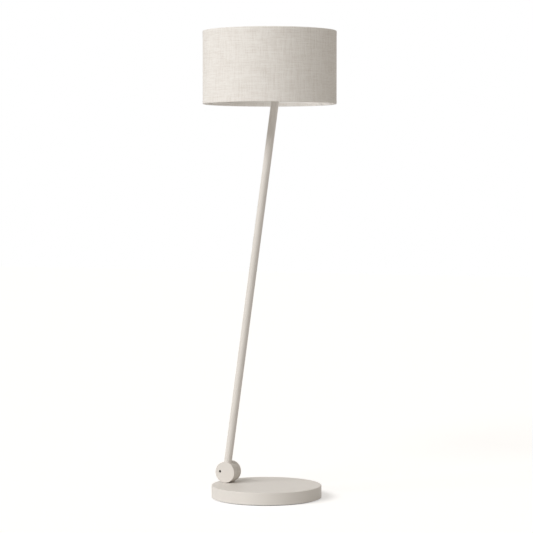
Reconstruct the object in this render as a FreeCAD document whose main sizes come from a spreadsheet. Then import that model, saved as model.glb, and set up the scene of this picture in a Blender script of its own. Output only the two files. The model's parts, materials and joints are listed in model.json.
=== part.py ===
"""Floor lamp: a disc base, a two-disc hinge, a leaning pole and a drum shade.

Origin: centre of the base on the floor, +Z up.
The pole leans towards +X.  The hinge barrel lies along Y, with its front face towards -Y.
All lengths are in millimetres and all angles in degrees.
"""

import FreeCAD, Part
import math
import os
import Sketcher

# Driving dimensions: alias, value, meaning.
DIMENSIONS = [
    ("total_height", 1500.0, "floor to the shade's upper rim"),
    ("seat_gap", 0.05, "radial clearance of a piece seated in another"),
    ("clear_gap", 0.2, "radial clearance round screws and loosely placed pieces"),
    ("hole_end", 1.0, "free length at the end of a blind hole"),
    ("running_gap", 0.04, "radial clearance of a pin that turns"),
    ("edge_flats", 3, "flats that each rounded edge is drawn with"),
    ("wire_sides", 6, "sides that the shade's wire rings are drawn with"),
    ("washer_play", 0.05, "play on each side of a washer between turning discs"),
    # Base
    ("base_diameter", 355.0, "outer diameter of the base cover"),
    ("base_height", 41.5, "floor to the top of the base"),
    ("cover_wall", 2.0, "wall of the spun base cover"),
    ("cover_edge", 2.5, "outer radius of the cover's top edge"),
    ("pad_height", 2.5, "height of the floor pad"),
    ("pad_set_back", 7.0, "base's edge to the floor pad's edge"),
    ("pad_hole", 12.0, "holes of the floor pad round the plate screws"),
    ("plate_thickness", 1.5, "bottom plate"),
    ("plate_play", 0.5, "gap between bottom plate and cover wall"),
    ("weight_gap", 15.5, "cover wall to the cast weight, room for the inlet"),
    ("weight_thickness", 13.0, "cast weight"),
    ("weight_edge", 3.0, "bevel of the weight's lower edge"),
    ("pillar_diameter", 14.0, "pillars cast on the weight"),
    ("pillar_inset", 42.0, "weight's edge to the pillars' centres"),
    ("plate_screws", 3, "screws of the bottom plate"),
    ("plate_screw", 4.0, "thread diameter of the plate screws"),
    ("plate_screw_length", 10.0, "length of the plate screws"),
    ("plate_screw_head", 8.0, "head diameter of the plate screws"),
    ("plate_screw_head_height", 2.0, "head height of the plate screws"),
    # Cable inlet and internal wiring
    ("inlet_height", 13.8, "floor to the inlet's axis"),
    ("inlet_bore", 7.2, "bore of the inlet bush"),
    ("inlet_neck", 11.6, "neck of the inlet bush in the cover wall"),
    ("inlet_flange", 15.0, "flanges of the inlet bush"),
    ("inlet_flange_thickness", 2.0, "outer flange of the inlet bush"),
    ("inlet_length", 12.0, "inlet bush, end to end"),
    ("lead_diameter", 4.0, "sheathed internal lead"),
    ("lead_passage", 7.0, "bores that the lead runs through"),
    ("lead_bend", 5.5, "centre line radius of the lead's bends"),
    ("lead_height", 13.0, "floor to the lead's run under the weight"),
    ("lead_back_gap", 1.0, "gap between the axle's end and the lead's bend"),
    ("block_length", 32.0, "terminal block along X"),
    ("block_width", 20.0, "terminal block along Y"),
    ("block_height", 14.0, "terminal block along Z"),
    ("block_from_hinge", 62.0, "hinge axis to the terminal block"),
    ("block_ways", 3, "ways of the terminal block"),
    ("block_entry", 3.4, "entry holes of the terminal block"),
    ("block_screw", 3.0, "clamping screws of the terminal block, across flats"),
    ("block_screw_depth", 0.8, "underside of the block to the heads of its screws"),
    # Hinge
    ("hinge_from_edge", 39.7, "base's edge to the hinge axis"),
    ("disc_diameter", 68.0, "both hinge discs"),
    ("disc_edge", 1.2, "rounded edges of the hinge discs"),
    ("front_disc", 27.0, "thickness of the disc that carries the pole"),
    ("rear_disc", 23.5, "thickness of the disc on the base"),
    ("disc_gap", 1.0, "groove between the discs"),
    ("disc_rise", 0.6, "gap between the discs' rims and the base"),
    ("foot_width", 26.0, "foot under the rear disc, along X"),
    ("foot_inset", 2.0, "foot set back from the disc's faces"),
    ("foot_screw", 6.0, "thread diameter of the foot screws"),
    ("foot_screw_sink", 0.5, "weight's underside to the foot screws' heads"),
    ("foot_screw_socket", 4.8, "socket of the foot screws, across flats"),
    ("foot_screw_spacing", 16.0, "distance between the foot screws"),
    ("foot_screw_head", 10.0, "head diameter of the foot screws"),
    ("foot_screw_head_height", 6.0, "head height of the foot screws"),
    ("foot_screw_depth", 10.0, "thread engagement in the rear disc"),
    ("foot_screw_from_face", 9.0, "rear disc's front face to the foot screws"),
    ("web", 6.5, "web of the rear disc round the axle"),
    ("cavity_diameter", 40.0, "cavity in the back of the rear disc"),
    ("cap_diameter", 50.0, "rear cap"),
    ("cap_thickness", 2.0, "rear cap"),
    ("axle_diameter", 14.0, "hollow hinge axle"),
    ("axle_end_wall", 1.5, "closed front end of the axle"),
    ("bush_wall", 1.5, "plain bush round the axle"),
    ("friction_washer_diameter", 46.0, "friction washer in the groove"),
    ("thrust_washer_diameter", 24.0, "thrust washer behind the web"),
    ("thrust_washer", 1.0, "thickness of the thrust washer"),
    ("disc_spring", 1.4, "height of the coned disc spring"),
    ("disc_spring_wall", 0.8, "sheet of the coned disc spring"),
    ("disc_spring_lip", 1.0, "flat lip of the disc spring"),
    ("axle_nut", 3.5, "thickness of the axle nut"),
    ("axle_nut_flats", 22.0, "across the flats of the axle nut"),
    ("axle_end_play", 0.5, "axle end beyond its nut"),
    ("stop_pin", 4.0, "stop pin"),
    ("stop_pin_radius", 28.0, "hinge axis to the stop pin"),
    ("stop_pin_depth", 6.0, "stop pin in the front disc"),
    ("stop_pin_reach", 4.0, "stop pin in the rear disc's slot"),
    ("stop_play", 0.3, "clearance round the stop pin in its slot"),
    ("lean_more", 6.7, "lean from the stored pose to the far stop"),
    # Lock screw
    ("lock_radius", 17.7, "hinge axis to the lock screw"),
    ("lock_screw", 8.0, "thread diameter of the lock screw"),
    ("lock_recess", 3.0, "lock screw below the front face"),
    ("lock_screw_length", 14.0, "lock screw"),
    ("lock_socket", 4.0, "hexagon socket, across the flats"),
    ("lock_socket_depth", 5.0, "hexagon socket"),
    ("lock_pad", 7.6, "diameter of the lock pad"),
    # Pole
    ("pole_diameter", 25.0, "pole tube"),
    ("pole_wall", 1.5, "pole tube"),
    ("pole_lean", 8.26, "lean of the pole from upright"),
    ("spigot_seat", 5.0, "depth of the spigot's seat below the rim"),
    ("spigot_reach", 26.0, "spigot in the pole, beyond the rim"),
    ("stud_diameter", 12.0, "threaded stud of the spigot"),
    ("stud_length", 16.0, "threaded stud of the spigot"),
    ("grub_screw", 5.0, "grub screws of the pole"),
    ("grub_screw_length", 6.0, "grub screws of the pole"),
    # Swivel under the lampholder
    ("pivot_above_rim", 29.0, "shade's lower rim to the swivel axis"),
    ("swivel_diameter", 26.0, "swivel discs"),
    ("swivel_disc", 12.0, "thickness of each swivel disc"),
    ("swivel_gap", 0.4, "gap between the swivel discs"),
    ("swivel_edge", 0.8, "bevelled edge of the swivel discs"),
    ("neck_length", 4.0, "neck between pole collar and lower disc"),
    ("neck_diameter", 14.0, "neck under the lower swivel disc"),
    ("collar_height", 2.0, "collar on the pole's upper end"),
    ("plug_length", 22.0, "plug in the pole's upper end"),
    ("bolt_diameter", 12.0, "hollow swivel bolt"),
    ("bolt_end_gap", 0.5, "closed end of the bolt's bore beyond the lead"),
    ("bolt_head", 17.0, "head diameter of the swivel bolt"),
    ("bolt_head_height", 3.5, "head height of the swivel bolt"),
    ("bolt_end_play", 0.8, "swivel bolt beyond its nut"),
    ("swivel_washer", 1.0, "spring washer under the swivel nut"),
    ("swivel_nut", 5.0, "thickness of the swivel nut"),
    ("swivel_nut_flats", 17.0, "across the flats of the swivel nut"),
    ("window_height", 9.4, "side slot of the swivel bolt"),
    ("arm_length", 28.2, "swivel axis to the shade's axis"),
    ("arm_height", 16.0, "arm, along Z"),
    ("boss_diameter", 18.0, "boss at the arm's end"),
    # Lampholder
    ("nipple_diameter", 10.0, "threaded tube under the lampholder"),
    ("nipple_reach", 13.0, "threaded tube above the arm"),
    ("nipple_nut", 3.0, "thickness of the lock nut"),
    ("nipple_nut_flats", 14.0, "across the flats of the lock nut"),
    ("holder_neck", 16.0, "neck of the lampholder's cap"),
    ("holder_neck_height", 7.0, "neck of the lampholder's cap"),
    ("cap_slope", 5.0, "height of the lampholder cap's sloped shoulder"),
    ("cap_step", 0.5, "lampholder's cap stands this much inside its sleeve"),
    ("holder_cap_height", 25.0, "cap of the lampholder with its neck"),
    ("holder_diameter", 39.0, "threaded sleeve of the lampholder"),
    ("holder_wall", 1.8, "cap and sleeve of the lampholder"),
    ("sleeve_height", 38.0, "sleeve of the lampholder"),
    ("insert_height", 14.0, "contact block in the lampholder"),
    ("insert_inset", 4.0, "contact block below the sleeve's lower edge"),
    ("shell_diameter", 27.6, "bore of the lampholder's screw shell"),
    ("shell_wall", 0.5, "screw shell"),
    ("shell_height", 25.0, "screw shell"),
    ("contact_thickness", 0.8, "centre contact spring"),
    ("ring_diameter", 58.0, "rings that clamp the shade"),
    ("ring_height", 7.0, "rings that clamp the shade"),
    ("ring_flange", 2.3, "flange of a clamping ring"),
    ("ring_step", 4.0, "step from a clamping ring's flange to its hub"),
    ("ring_from_cap", 5.0, "sleeve's lower edge to the lower ring"),
    # Bulb
    ("cap_thread", 26.4, "screw cap of the bulb"),
    ("cap_height", 24.0, "screw cap of the bulb"),
    ("tip_height", 2.4, "centre contact of the bulb"),
    ("tip_diameter", 10.0, "centre contact of the bulb"),
    ("globe_diameter", 60.0, "globe of the bulb"),
    ("housing_lip", 0.4, "housing of the bulb stands this much outside its cap"),
    ("globe_cut", 21.0, "globe centre down to its lower edge"),
    ("bulb_length", 108.0, "bulb, tip to top"),
    # Shade
    ("shade_diameter", 429.0, "outside of the shade's fabric"),
    ("shade_height", 233.0, "shade"),
    ("fabric", 0.6, "fabric of the shade"),
    ("liner", 0.8, "stiff white liner behind the fabric"),
    ("wire", 4.0, "rings and arms of the shade's frame"),
    ("fitter_diameter", 66.0, "fitter ring"),
    ("fitter", 2.0, "thickness of the fitter ring"),
    ("spider_arms", 3, "arms of the shade's frame"),
    ("hem_cloth", 0.5, "cloth turned in over the wire rings"),
    ("hem_width", 11.0, "height of the turned-in cloth"),
]

# Places worked out from the driving dimensions: alias, formula.
PLACES = [
    ("cover_under", "dims.base_height - dims.cover_wall"),
    ("cover_inner", "dims.base_diameter / 2 - dims.cover_wall"),
    ("weight_r", "places.cover_inner - dims.weight_gap"),
    ("pillar_reach", "places.weight_r - dims.pillar_inset"),
    ("pad_r", "dims.base_diameter / 2 - dims.pad_set_back"),
    ("weight_under", "places.cover_under - dims.weight_thickness"),
    ("plate_top", "dims.pad_height + dims.plate_thickness"),
    ("disc_r", "dims.disc_diameter / 2"),
    ("hinge_x", "dims.hinge_from_edge - dims.base_diameter / 2"),
    ("hinge_z", "dims.base_height + dims.disc_rise + places.disc_r"),
    ("front_face", "0 - (dims.front_disc + dims.disc_gap + dims.rear_disc) / 2"),
    ("front_back", "places.front_face + dims.front_disc"),
    ("rear_front", "places.front_back + dims.disc_gap"),
    ("rear_back", "places.rear_front + dims.rear_disc"),
    ("pole_y", "places.front_face + dims.front_disc / 2"),
    ("axle_r", "dims.axle_diameter / 2"),
    ("bush_r", "places.axle_r + dims.bush_wall"),
    ("cavity_floor", "places.rear_front + dims.web"),
    ("cavity_mouth", "places.rear_back - dims.cap_thickness"),
    ("spring_at", "places.cavity_floor + dims.thrust_washer"),
    ("nut_at", "places.spring_at + dims.disc_spring"),
    ("axle_front", "places.pole_y - dims.lead_passage / 2 - dims.axle_end_wall"),
    ("axle_back", "places.nut_at + dims.axle_nut + dims.axle_end_play"),
    ("lead_y", "places.axle_back + dims.lead_back_gap + dims.lead_bend"),
    ("lead_meets", "(places.rear_front + places.nut_at) / 2"),
    ("foot_screw_y", "places.rear_front + dims.foot_screw_from_face"),
    ("pole_bore_r", "dims.pole_diameter / 2 - dims.pole_wall"),
    ("pivot_z", "dims.total_height - dims.shade_height + dims.pivot_above_rim"),
    ("pivot_rise", "places.pivot_z - places.hinge_z"),
    ("pivot_x", "places.hinge_x + places.pivot_rise * tan(dims.pole_lean)"),
    ("pivot_reach", "places.pivot_rise / cos(dims.pole_lean)"),
    ("swivel_r", "dims.swivel_diameter / 2"),
    ("pole_end", "places.pivot_reach - places.swivel_r - dims.neck_length - dims.collar_height"),
    ("shade_x", "places.pivot_x - dims.arm_length"),
    ("shade_y", "places.pole_y + dims.swivel_disc + dims.swivel_gap"),
    ("swivel_meets", "places.pole_y + (dims.swivel_disc + dims.swivel_gap) / 2"),
    ("swivel_front", "places.pole_y - dims.swivel_disc / 2"),
    ("swivel_back", "places.shade_y + dims.swivel_disc / 2"),
    ("bolt_back", "places.swivel_back + dims.swivel_washer + dims.swivel_nut + dims.bolt_end_play"),
    ("arm_top", "dims.arm_height / 2"),
    ("holder_low", "places.arm_top + dims.nipple_nut"),
    ("sleeve_low", "places.holder_low + dims.holder_cap_height"),
    ("sleeve_high", "places.sleeve_low + dims.sleeve_height"),
    ("insert_low", "places.sleeve_low - dims.insert_inset"),
    ("insert_high", "places.insert_low + dims.insert_height"),
    ("ring_low", "places.sleeve_low + dims.ring_from_cap"),
    ("fitter_low", "places.ring_low + dims.ring_height"),
    ("fitter_high", "places.fitter_low + dims.fitter"),
    ("bulb_low", "places.insert_high + dims.contact_thickness"),
    ("bulb_cap_low", "places.bulb_low + dims.tip_height"),
    ("bulb_cap_high", "places.bulb_cap_low + dims.cap_height"),
    ("globe_z", "places.bulb_low + dims.bulb_length - dims.globe_diameter / 2"),
    ("globe_low", "places.globe_z - dims.globe_cut"),
    ("rim_low", "0 - dims.pivot_above_rim"),
    ("rim_high", "dims.shade_height - dims.pivot_above_rim"),
    ("liner_out", "dims.shade_diameter / 2 - dims.fabric"),
    ("liner_in", "places.liner_out - dims.liner"),
    ("wire_r", "places.liner_in - dims.wire / 2 - dims.seat_gap"),
    ("hem_in", "places.liner_in - dims.wire - dims.hem_cloth - dims.clear_gap"),
    ("wire_low", "places.rim_low + dims.hem_cloth + dims.wire / 2 + dims.seat_gap"),
    ("wire_high", "places.rim_high - dims.hem_cloth - dims.wire / 2 - dims.seat_gap"),
]

doc = FreeCAD.newDocument("floor_lamp")
sub_parts = []


# ---------------------------------------------------------------- helpers

def make_sheet(name, rows):
    """A sheet with one aliased cell per row."""
    sheet = doc.addObject("Spreadsheet::Sheet", name)
    for row, (alias, content) in enumerate(rows, start=1):
        sheet.set("A%d" % row, alias)
        sheet.set("B%d" % row, content)
        sheet.setAlias("B%d" % row, alias)
        doc.recompute()
    return sheet


def value(expression):
    """Number that an expression of the sheets stands for now."""
    result = places.evalExpression(str(expression))
    return float(getattr(result, "Value", result))


def at(x="0", y="0", z="0", axis="0; 0; 1", angle="0"):
    """Placement expression: a turn about an axis, then a shift."""
    return "placement(vector(%s; %s; %s); rotation(vector(%s); %s))" % (x, y, z, axis, angle)


def bind(item, **sizes):
    """Tie properties of an object to expressions."""
    for name, expression in sizes.items():
        item.setExpression(name, expression)
    return item


def node(item, label, place=None):
    """Name a finished sub-part and put it in its place."""
    item.Label = label
    if place:
        item.setExpression("Placement", place)
    sub_parts.append(item)
    return item


def cylinder(name, radius, height, place):
    return bind(doc.addObject("Part::Cylinder", name), Radius=radius, Height=height, Placement=place)


def box(name, length, width, height, place):
    item = doc.addObject("Part::Box", name)
    return bind(item, Length=length, Width=width, Height=height, Placement=place)


def hexagon(name, flats, height, place):
    item = doc.addObject("Part::Prism", name)
    item.Polygon = 6
    return bind(item, Circumradius="%s / sqrt(3)" % flats, Height=height, Placement=place)


def wire_ring(name, height):
    """Closed ring of the shade's wire, drawn with flat sides."""
    corners = []
    for index in range(int(value("dims.wire_sides"))):
        angle = "360 deg * %s / dims.wire_sides" % index
        corners.append(("places.wire_r + dims.wire / 2 * cos(%s)" % angle,
                        "%s + dims.wire / 2 * sin(%s)" % (height, angle)))
    return turned(name, corners)


def fused(name, *pieces):
    item = doc.addObject("Part::MultiFuse", name)
    item.Shapes = list(pieces)
    item.Refine = True
    return item


def cut(name, base, *tools):
    item = doc.addObject("Part::Cut", name)
    item.Base = base
    item.Tool = tools[0] if len(tools) == 1 else fused(name + "_tools", *tools)
    item.Refine = True
    return item


def origin_plane(body, role):
    return next(item for item in body.Origin.OriginFeatures if item.Role == role)


def sketch_on(body, name, role, offset="0"):
    """Empty sketch on an origin plane of its body, shifted along the plane's normal."""
    sketch = body.newObject("Sketcher::SketchObject", name)
    sketch.AttachmentSupport = [(origin_plane(body, role), "")]
    sketch.MapMode = "FlatFace"
    if offset != "0":
        sketch.setExpression("AttachmentOffset.Base.z", offset)
    return sketch


def hold(sketch, kind, geometry, point, expression):
    """Fix one coordinate of a point: on an axis, or by a bound distance from the origin."""
    axis = {"DistanceX": -2, "DistanceY": -1}[kind]
    if expression == "0":
        sketch.addConstraint(Sketcher.Constraint("PointOnObject", geometry, point, axis))
        return
    number = value(expression)
    index = sketch.addConstraint(Sketcher.Constraint(kind, -1, 1, geometry, point, number))
    sketch.setExpression("Constraints[%d]" % index, expression)


def profile(body, name, role, corners):
    """Closed polygon; every corner is held by two bound distances."""
    sketch = sketch_on(body, name, role)
    points = [FreeCAD.Vector(value(u), value(v), 0) for u, v in corners]
    following = points[1:] + points[:1]
    for start, end in zip(points, following):
        sketch.addGeometry(Part.LineSegment(start, end))
    count = len(points)
    for index in range(count):
        sketch.addConstraint(Sketcher.Constraint("Coincident", index, 2, (index + 1) % count, 1))
    for index, (u, v) in enumerate(corners):
        hold(sketch, "DistanceX", index, 1, u)
        hold(sketch, "DistanceY", index, 1, v)
    return sketch


def circles(body, name, role, offset, holes):
    """Sketch of circles (u, v, radius)."""
    sketch = sketch_on(body, name, role, offset)
    for index, (u, v, radius) in enumerate(holes):
        centre = FreeCAD.Vector(value(u), value(v), 0)
        sketch.addGeometry(Part.Circle(centre, FreeCAD.Vector(0, 0, 1), value(radius)))
        hold(sketch, "DistanceX", index, 3, u)
        hold(sketch, "DistanceY", index, 3, v)
        bound = sketch.addConstraint(Sketcher.Constraint("Radius", index, value(radius)))
        sketch.setExpression("Constraints[%d]" % bound, radius)
    return sketch


def turned(name, corners, upright=True):
    """Turned piece: (radius, height) about Z when upright, else (y, radius) about Y."""
    body = doc.addObject("PartDesign::Body", name)
    role = "XZ_Plane" if upright else "YZ_Plane"
    sketch = profile(body, name + "_profile", role, corners)
    solid = body.newObject("PartDesign::Revolution", name + "_turned")
    solid.Profile = sketch
    solid.ReferenceAxis = (sketch, ["V_Axis" if upright else "H_Axis"])
    solid.Angle = 360
    doc.recompute()
    return body


def ring_of(name, inner, outer, low, high, upright=True):
    """Tube or washer of rectangular section."""
    if upright:
        corners = [(inner, low), (outer, low), (outer, high), (inner, high)]
    else:
        corners = [(low, inner), (high, inner), (high, outer), (low, outer)]
    return turned(name, corners, upright)


def eased(u, v, sign_u, sign_v, size):
    """Profile corner rounded in flats, from the face at u to the face at v."""
    corners = []
    for index in range(int(value("dims.edge_flats")) + 1):
        turn = "(90 deg * %d / dims.edge_flats)" % index
        corners.append(("%s %s %s * (1 - cos%s)" % (u, "-" if sign_u > 0 else "+", size, turn),
                        "%s %s %s * (1 - sin%s)" % (v, "-" if sign_v > 0 else "+", size, turn)))
    return corners


def pocket(body, sketch, depth=None, both=False, backwards=False):
    """Cut a sketch into its body: through all, or to a bound depth."""
    before = body.Shape.Volume
    hole = body.newObject("PartDesign::Pocket", sketch.Name + "_cut")
    hole.Profile = sketch
    if depth is None:
        hole.Type = "ThroughAll"
    else:
        hole.Type = "Length"
        hole.setExpression("Length", depth)
    hole.SideType = "Symmetric" if both else "One side"
    hole.Reversed = backwards
    doc.recompute()
    if body.Shape.Volume > before - 1:
        raise RuntimeError(sketch.Name + " cuts nothing")
    return hole


def polar(body, feature, count):
    """Repeat a feature round the body's Z axis."""
    axis = next(item for item in body.Origin.OriginFeatures if item.Role == "Z_Axis")
    pattern = body.newObject("PartDesign::PolarPattern", feature.Name + "_ring")
    pattern.Originals = [feature]
    pattern.Axis = (axis, [""])
    pattern.Angle = 360
    pattern.setExpression("Occurrences", count)
    body.Tip = pattern
    doc.recompute()
    return pattern


def bent_lead(name, points, bends):
    """Round lead along straight runs joined by tangent arcs; returns its solid."""
    radius = value("dims.lead_diameter") / 2
    edges = []
    start = points[0]
    for index, bend in enumerate(bends, start=1):
        corner = points[index]
        back = (points[index - 1] - corner).normalize()
        on = (points[index + 1] - corner).normalize()
        enter = corner + back * bend
        leave = corner + on * bend
        middle = corner + (back + on) * bend * (1 - math.sqrt(0.5))
        if (enter - start).Length > 1e-6:
            edges.append(Part.LineSegment(start, enter).toShape())
        edges.append(Part.Arc(enter, middle, leave).toShape())
        start = leave
    if (points[-1] - start).Length > 1e-6:
        edges.append(Part.LineSegment(start, points[-1]).toShape())
    path = Part.Wire(edges)
    section = Part.Wire(Part.makeCircle(radius, points[0], points[1] - points[0]))
    solid = path.makePipeShell([section], True, False)
    expected = math.pi * radius ** 2 * path.Length
    if abs(solid.Volume - expected) > 0.01 * expected:
        raise RuntimeError(name + " has the wrong volume")
    print(name, "length %.1f mm, bends %s mm" % (path.Length, sorted(set(bends))))
    lead = doc.addObject("Part::Feature", name)
    lead.Shape = solid
    return lead


def point(x, y, z):
    return FreeCAD.Vector(value(x), value(y), value(z))


make_sheet("dims", [(alias, str(number)) for alias, number, _ in DIMENSIONS])
places = make_sheet("places", [(alias, "=" + formula) for alias, formula in PLACES])

# Frames of the moving groups.  The pole's frame has its Z along the pole.
HINGE = at("places.hinge_x", "0", "places.hinge_z")
POLE = at("places.hinge_x", "places.pole_y", "places.hinge_z", "0; 1; 0", "dims.pole_lean")
HEAD = at("places.pivot_x", "0", "places.pivot_z")
SHADE = at("places.shade_x", "places.shade_y", "places.pivot_z")
ALONG_Y = "-1; 0; 0"     # axis of the quarter turn that lays a primitive along +Y
ALONG_X = "0; 1; 0"      # axis of the quarter turn that lays a primitive along +X


# ---------------------------------------------------------------- base

def base_cover():
    """Spun steel cover, open below, with holes for the foot screws, the lead and the inlet."""
    outer = "dims.base_diameter / 2"
    body = turned("base_cover_body", [
        ("places.cover_inner", "dims.pad_height"), (outer, "dims.pad_height"),
        *eased(outer, "dims.base_height", 1, 1, "dims.cover_edge"), ("0", "dims.base_height"),
        ("0", "places.cover_under"), ("places.cover_inner", "places.cover_under")])
    screw = "dims.foot_screw / 2 + dims.clear_gap"
    half = "dims.foot_screw_spacing / 2"
    pocket(body, circles(body, "cover_holes", "XY_Plane", "dims.base_height", [
        ("places.hinge_x - " + half, "places.foot_screw_y", screw),
        ("places.hinge_x + " + half, "places.foot_screw_y", screw),
        ("places.hinge_x", "places.lead_y", "dims.lead_passage / 2")]), "2 * dims.cover_wall")
    pocket(body, circles(body, "cover_inlet", "XZ_Plane", "0 - dims.base_diameter / 2", [
        ("0", "dims.inlet_height", "dims.inlet_neck / 2 + dims.seat_gap")]),
        "4 * dims.cover_wall", backwards=True)
    node(body, "base_cover")


def base_weight():
    """Cast disc bonded under the cover's top, with pillars for the bottom plate."""
    body = turned("base_weight_body", [
        ("0", "places.weight_under"), ("places.weight_r - dims.weight_edge", "places.weight_under"),
        ("places.weight_r", "places.weight_under + dims.weight_edge"),
        ("places.weight_r", "places.cover_under"), ("0", "places.cover_under")])
    pillar_sketch = circles(body, "pillar", "XY_Plane", "places.weight_under", [
        ("places.pillar_reach", "0",
         "dims.pillar_diameter / 2")])
    pillar = body.newObject("PartDesign::Pad", "pillar_pad")
    pillar.Profile = pillar_sketch
    pillar.Reversed = True
    pillar.setExpression("Length", "places.weight_under - places.plate_top")
    doc.recompute()
    polar(body, pillar, "dims.plate_screws")
    thread = circles(body, "pillar_thread", "XY_Plane", "places.plate_top", [
        ("places.pillar_reach", "0",
         "dims.plate_screw / 2 + dims.seat_gap")])
    polar(body, pocket(body, thread, "dims.plate_screw_length", backwards=True), "dims.plate_screws")
    half = "dims.foot_screw_spacing / 2"
    left = "places.hinge_x - " + half
    right = "places.hinge_x + " + half
    shank = "dims.foot_screw / 2 + dims.clear_gap"
    head = "dims.foot_screw_head / 2 + dims.clear_gap"
    pocket(body, circles(body, "weight_holes", "XY_Plane", "places.cover_under", [
        (left, "places.foot_screw_y", shank), (right, "places.foot_screw_y", shank),
        ("places.hinge_x", "places.lead_y", "dims.lead_passage / 2")]), "2 * dims.weight_thickness")
    pocket(body, circles(body, "weight_counterbores", "XY_Plane", "places.weight_under", [
        (left, "places.foot_screw_y", head), (right, "places.foot_screw_y", head)]),
        "dims.foot_screw_head_height + 0.5", backwards=True)
    node(body, "base_weight")


def bottom_plate():
    """Sheet steel plate inside the cover's lower edge, and its screws."""
    body = turned("bottom_plate_body", [
        ("0", "dims.pad_height"), ("places.cover_inner - dims.plate_play", "dims.pad_height"),
        ("places.cover_inner - dims.plate_play", "places.plate_top"), ("0", "places.plate_top")])
    hole = circles(body, "plate_hole", "XY_Plane", "places.plate_top", [
        ("places.pillar_reach", "0",
         "dims.plate_screw / 2 + dims.clear_gap")])
    polar(body, pocket(body, hole, "2 * dims.plate_thickness"), "dims.plate_screws")
    node(body, "bottom_plate")

    shaft = "dims.plate_screw / 2"
    head = "dims.plate_screw_head / 2"
    low = "dims.pad_height - dims.plate_screw_head_height"
    high = "dims.pad_height + dims.plate_screw_length"
    screws = []
    for index in range(int(value("dims.plate_screws"))):
        spin = at(angle="360 / dims.plate_screws * %s" % index)
        reach = at("places.pillar_reach")
        screw = turned("plate_screw_%d" % index, [
            ("0", low), (head, low), (head, "dims.pad_height"), (shaft, "dims.pad_height"),
            (shaft, high), ("0", high)])
        screw.setExpression("Placement", spin + " * " + reach)
        screws.append(screw)
    node(fused("plate_screw_group", *screws), "plate_screws")


def floor_pad():
    """Felt disc glued under the bottom plate, set back from its edge, open round the screws."""
    outer = "places.pad_r"
    body = turned("floor_pad_body", [
        ("0", "0"), (outer, "0"), (outer, "dims.pad_height"), ("0", "dims.pad_height")])
    hole = circles(body, "pad_hole", "XY_Plane", "dims.pad_height", [
        ("places.pillar_reach", "0",
         "dims.pad_hole / 2")])
    polar(body, pocket(body, hole, "2 * dims.pad_height"), "dims.plate_screws")
    node(body, "floor_pad")


def cord_inlet():
    """Rubber bush in the cover's back wall."""
    wall_out = "dims.base_diameter / 2"
    end = wall_out + " + dims.inlet_flange_thickness"
    bore = "dims.inlet_bore / 2"
    neck = "dims.inlet_neck / 2"
    flange = "dims.inlet_flange / 2"
    inner_start = end + " - dims.inlet_length"
    inner_face = "sqrt(pow(places.cover_inner; 2) - pow(%s; 2)) - dims.seat_gap" % flange
    body = turned("cord_inlet_body", [
        (inner_start, bore), (end, bore), (end, flange), (wall_out, flange), (wall_out, neck),
        (inner_face, neck), (inner_face, flange), (inner_start, flange)], upright=False)
    node(body, "cord_inlet", at("0", "0", "dims.inlet_height"))


def terminal_block():
    """Three-way block under the weight: entry holes along X, one clamping screw per way and side."""
    pitch = "dims.block_width / dims.block_ways"
    top = "places.weight_under"
    start_x = "places.hinge_x + dims.block_from_hinge"
    start_y = "places.lead_y - dims.block_width / 2"
    low = "%s - dims.block_height" % top
    well = "(dims.block_screw / cos(30) + 2 * dims.seat_gap)"
    block = box("block_blank", "dims.block_length", "dims.block_width", "dims.block_height",
                at(start_x, start_y, low))
    tools = []
    screws = []
    for way in range(int(value("dims.block_ways"))):
        y = "%s + %s * %s" % (start_y, pitch, way + 0.5)
        tools.append(cylinder("block_entry_%d" % way, "dims.block_entry / 2", "dims.block_length",
                              at(start_x, y, low + " + dims.block_height / 2", ALONG_X, "90")))
        for side in (0.25, 0.75):
            x = "%s + dims.block_length * %s" % (start_x, side)
            tools.append(box("block_well_%d_%d" % (way, side * 4), well, well,
                             "dims.block_height / 2",
                             at(x + " - %s / 2" % well, y + " - %s / 2" % well, low)))
            screws.append(hexagon("block_screw_%d_%d" % (way, side * 4), "dims.block_screw",
                                  "dims.block_height / 2 - dims.block_entry / 2"
                                  " - dims.block_screw_depth",
                                  at(x, y, low + " + dims.block_screw_depth")))
    node(cut("block_drilled", block, *tools), "terminal_block")
    node(fused("block_screw_group", *screws), "terminal_screws")


def base_lead():
    """Lead from the terminal block, up through weight, cover and rear disc, into the axle."""
    route = [
        point("places.hinge_x + dims.block_from_hinge", "places.lead_y", "dims.lead_height"),
        point("places.hinge_x", "places.lead_y", "dims.lead_height"),
        point("places.hinge_x", "places.lead_y", "places.hinge_z"),
        point("places.hinge_x", "places.lead_meets", "places.hinge_z")]
    bend = value("dims.lead_bend")
    node(bent_lead("base_lead_solid", route, [bend, bend]), "base_lead")


# ---------------------------------------------------------------- hinge, fixed side

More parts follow.
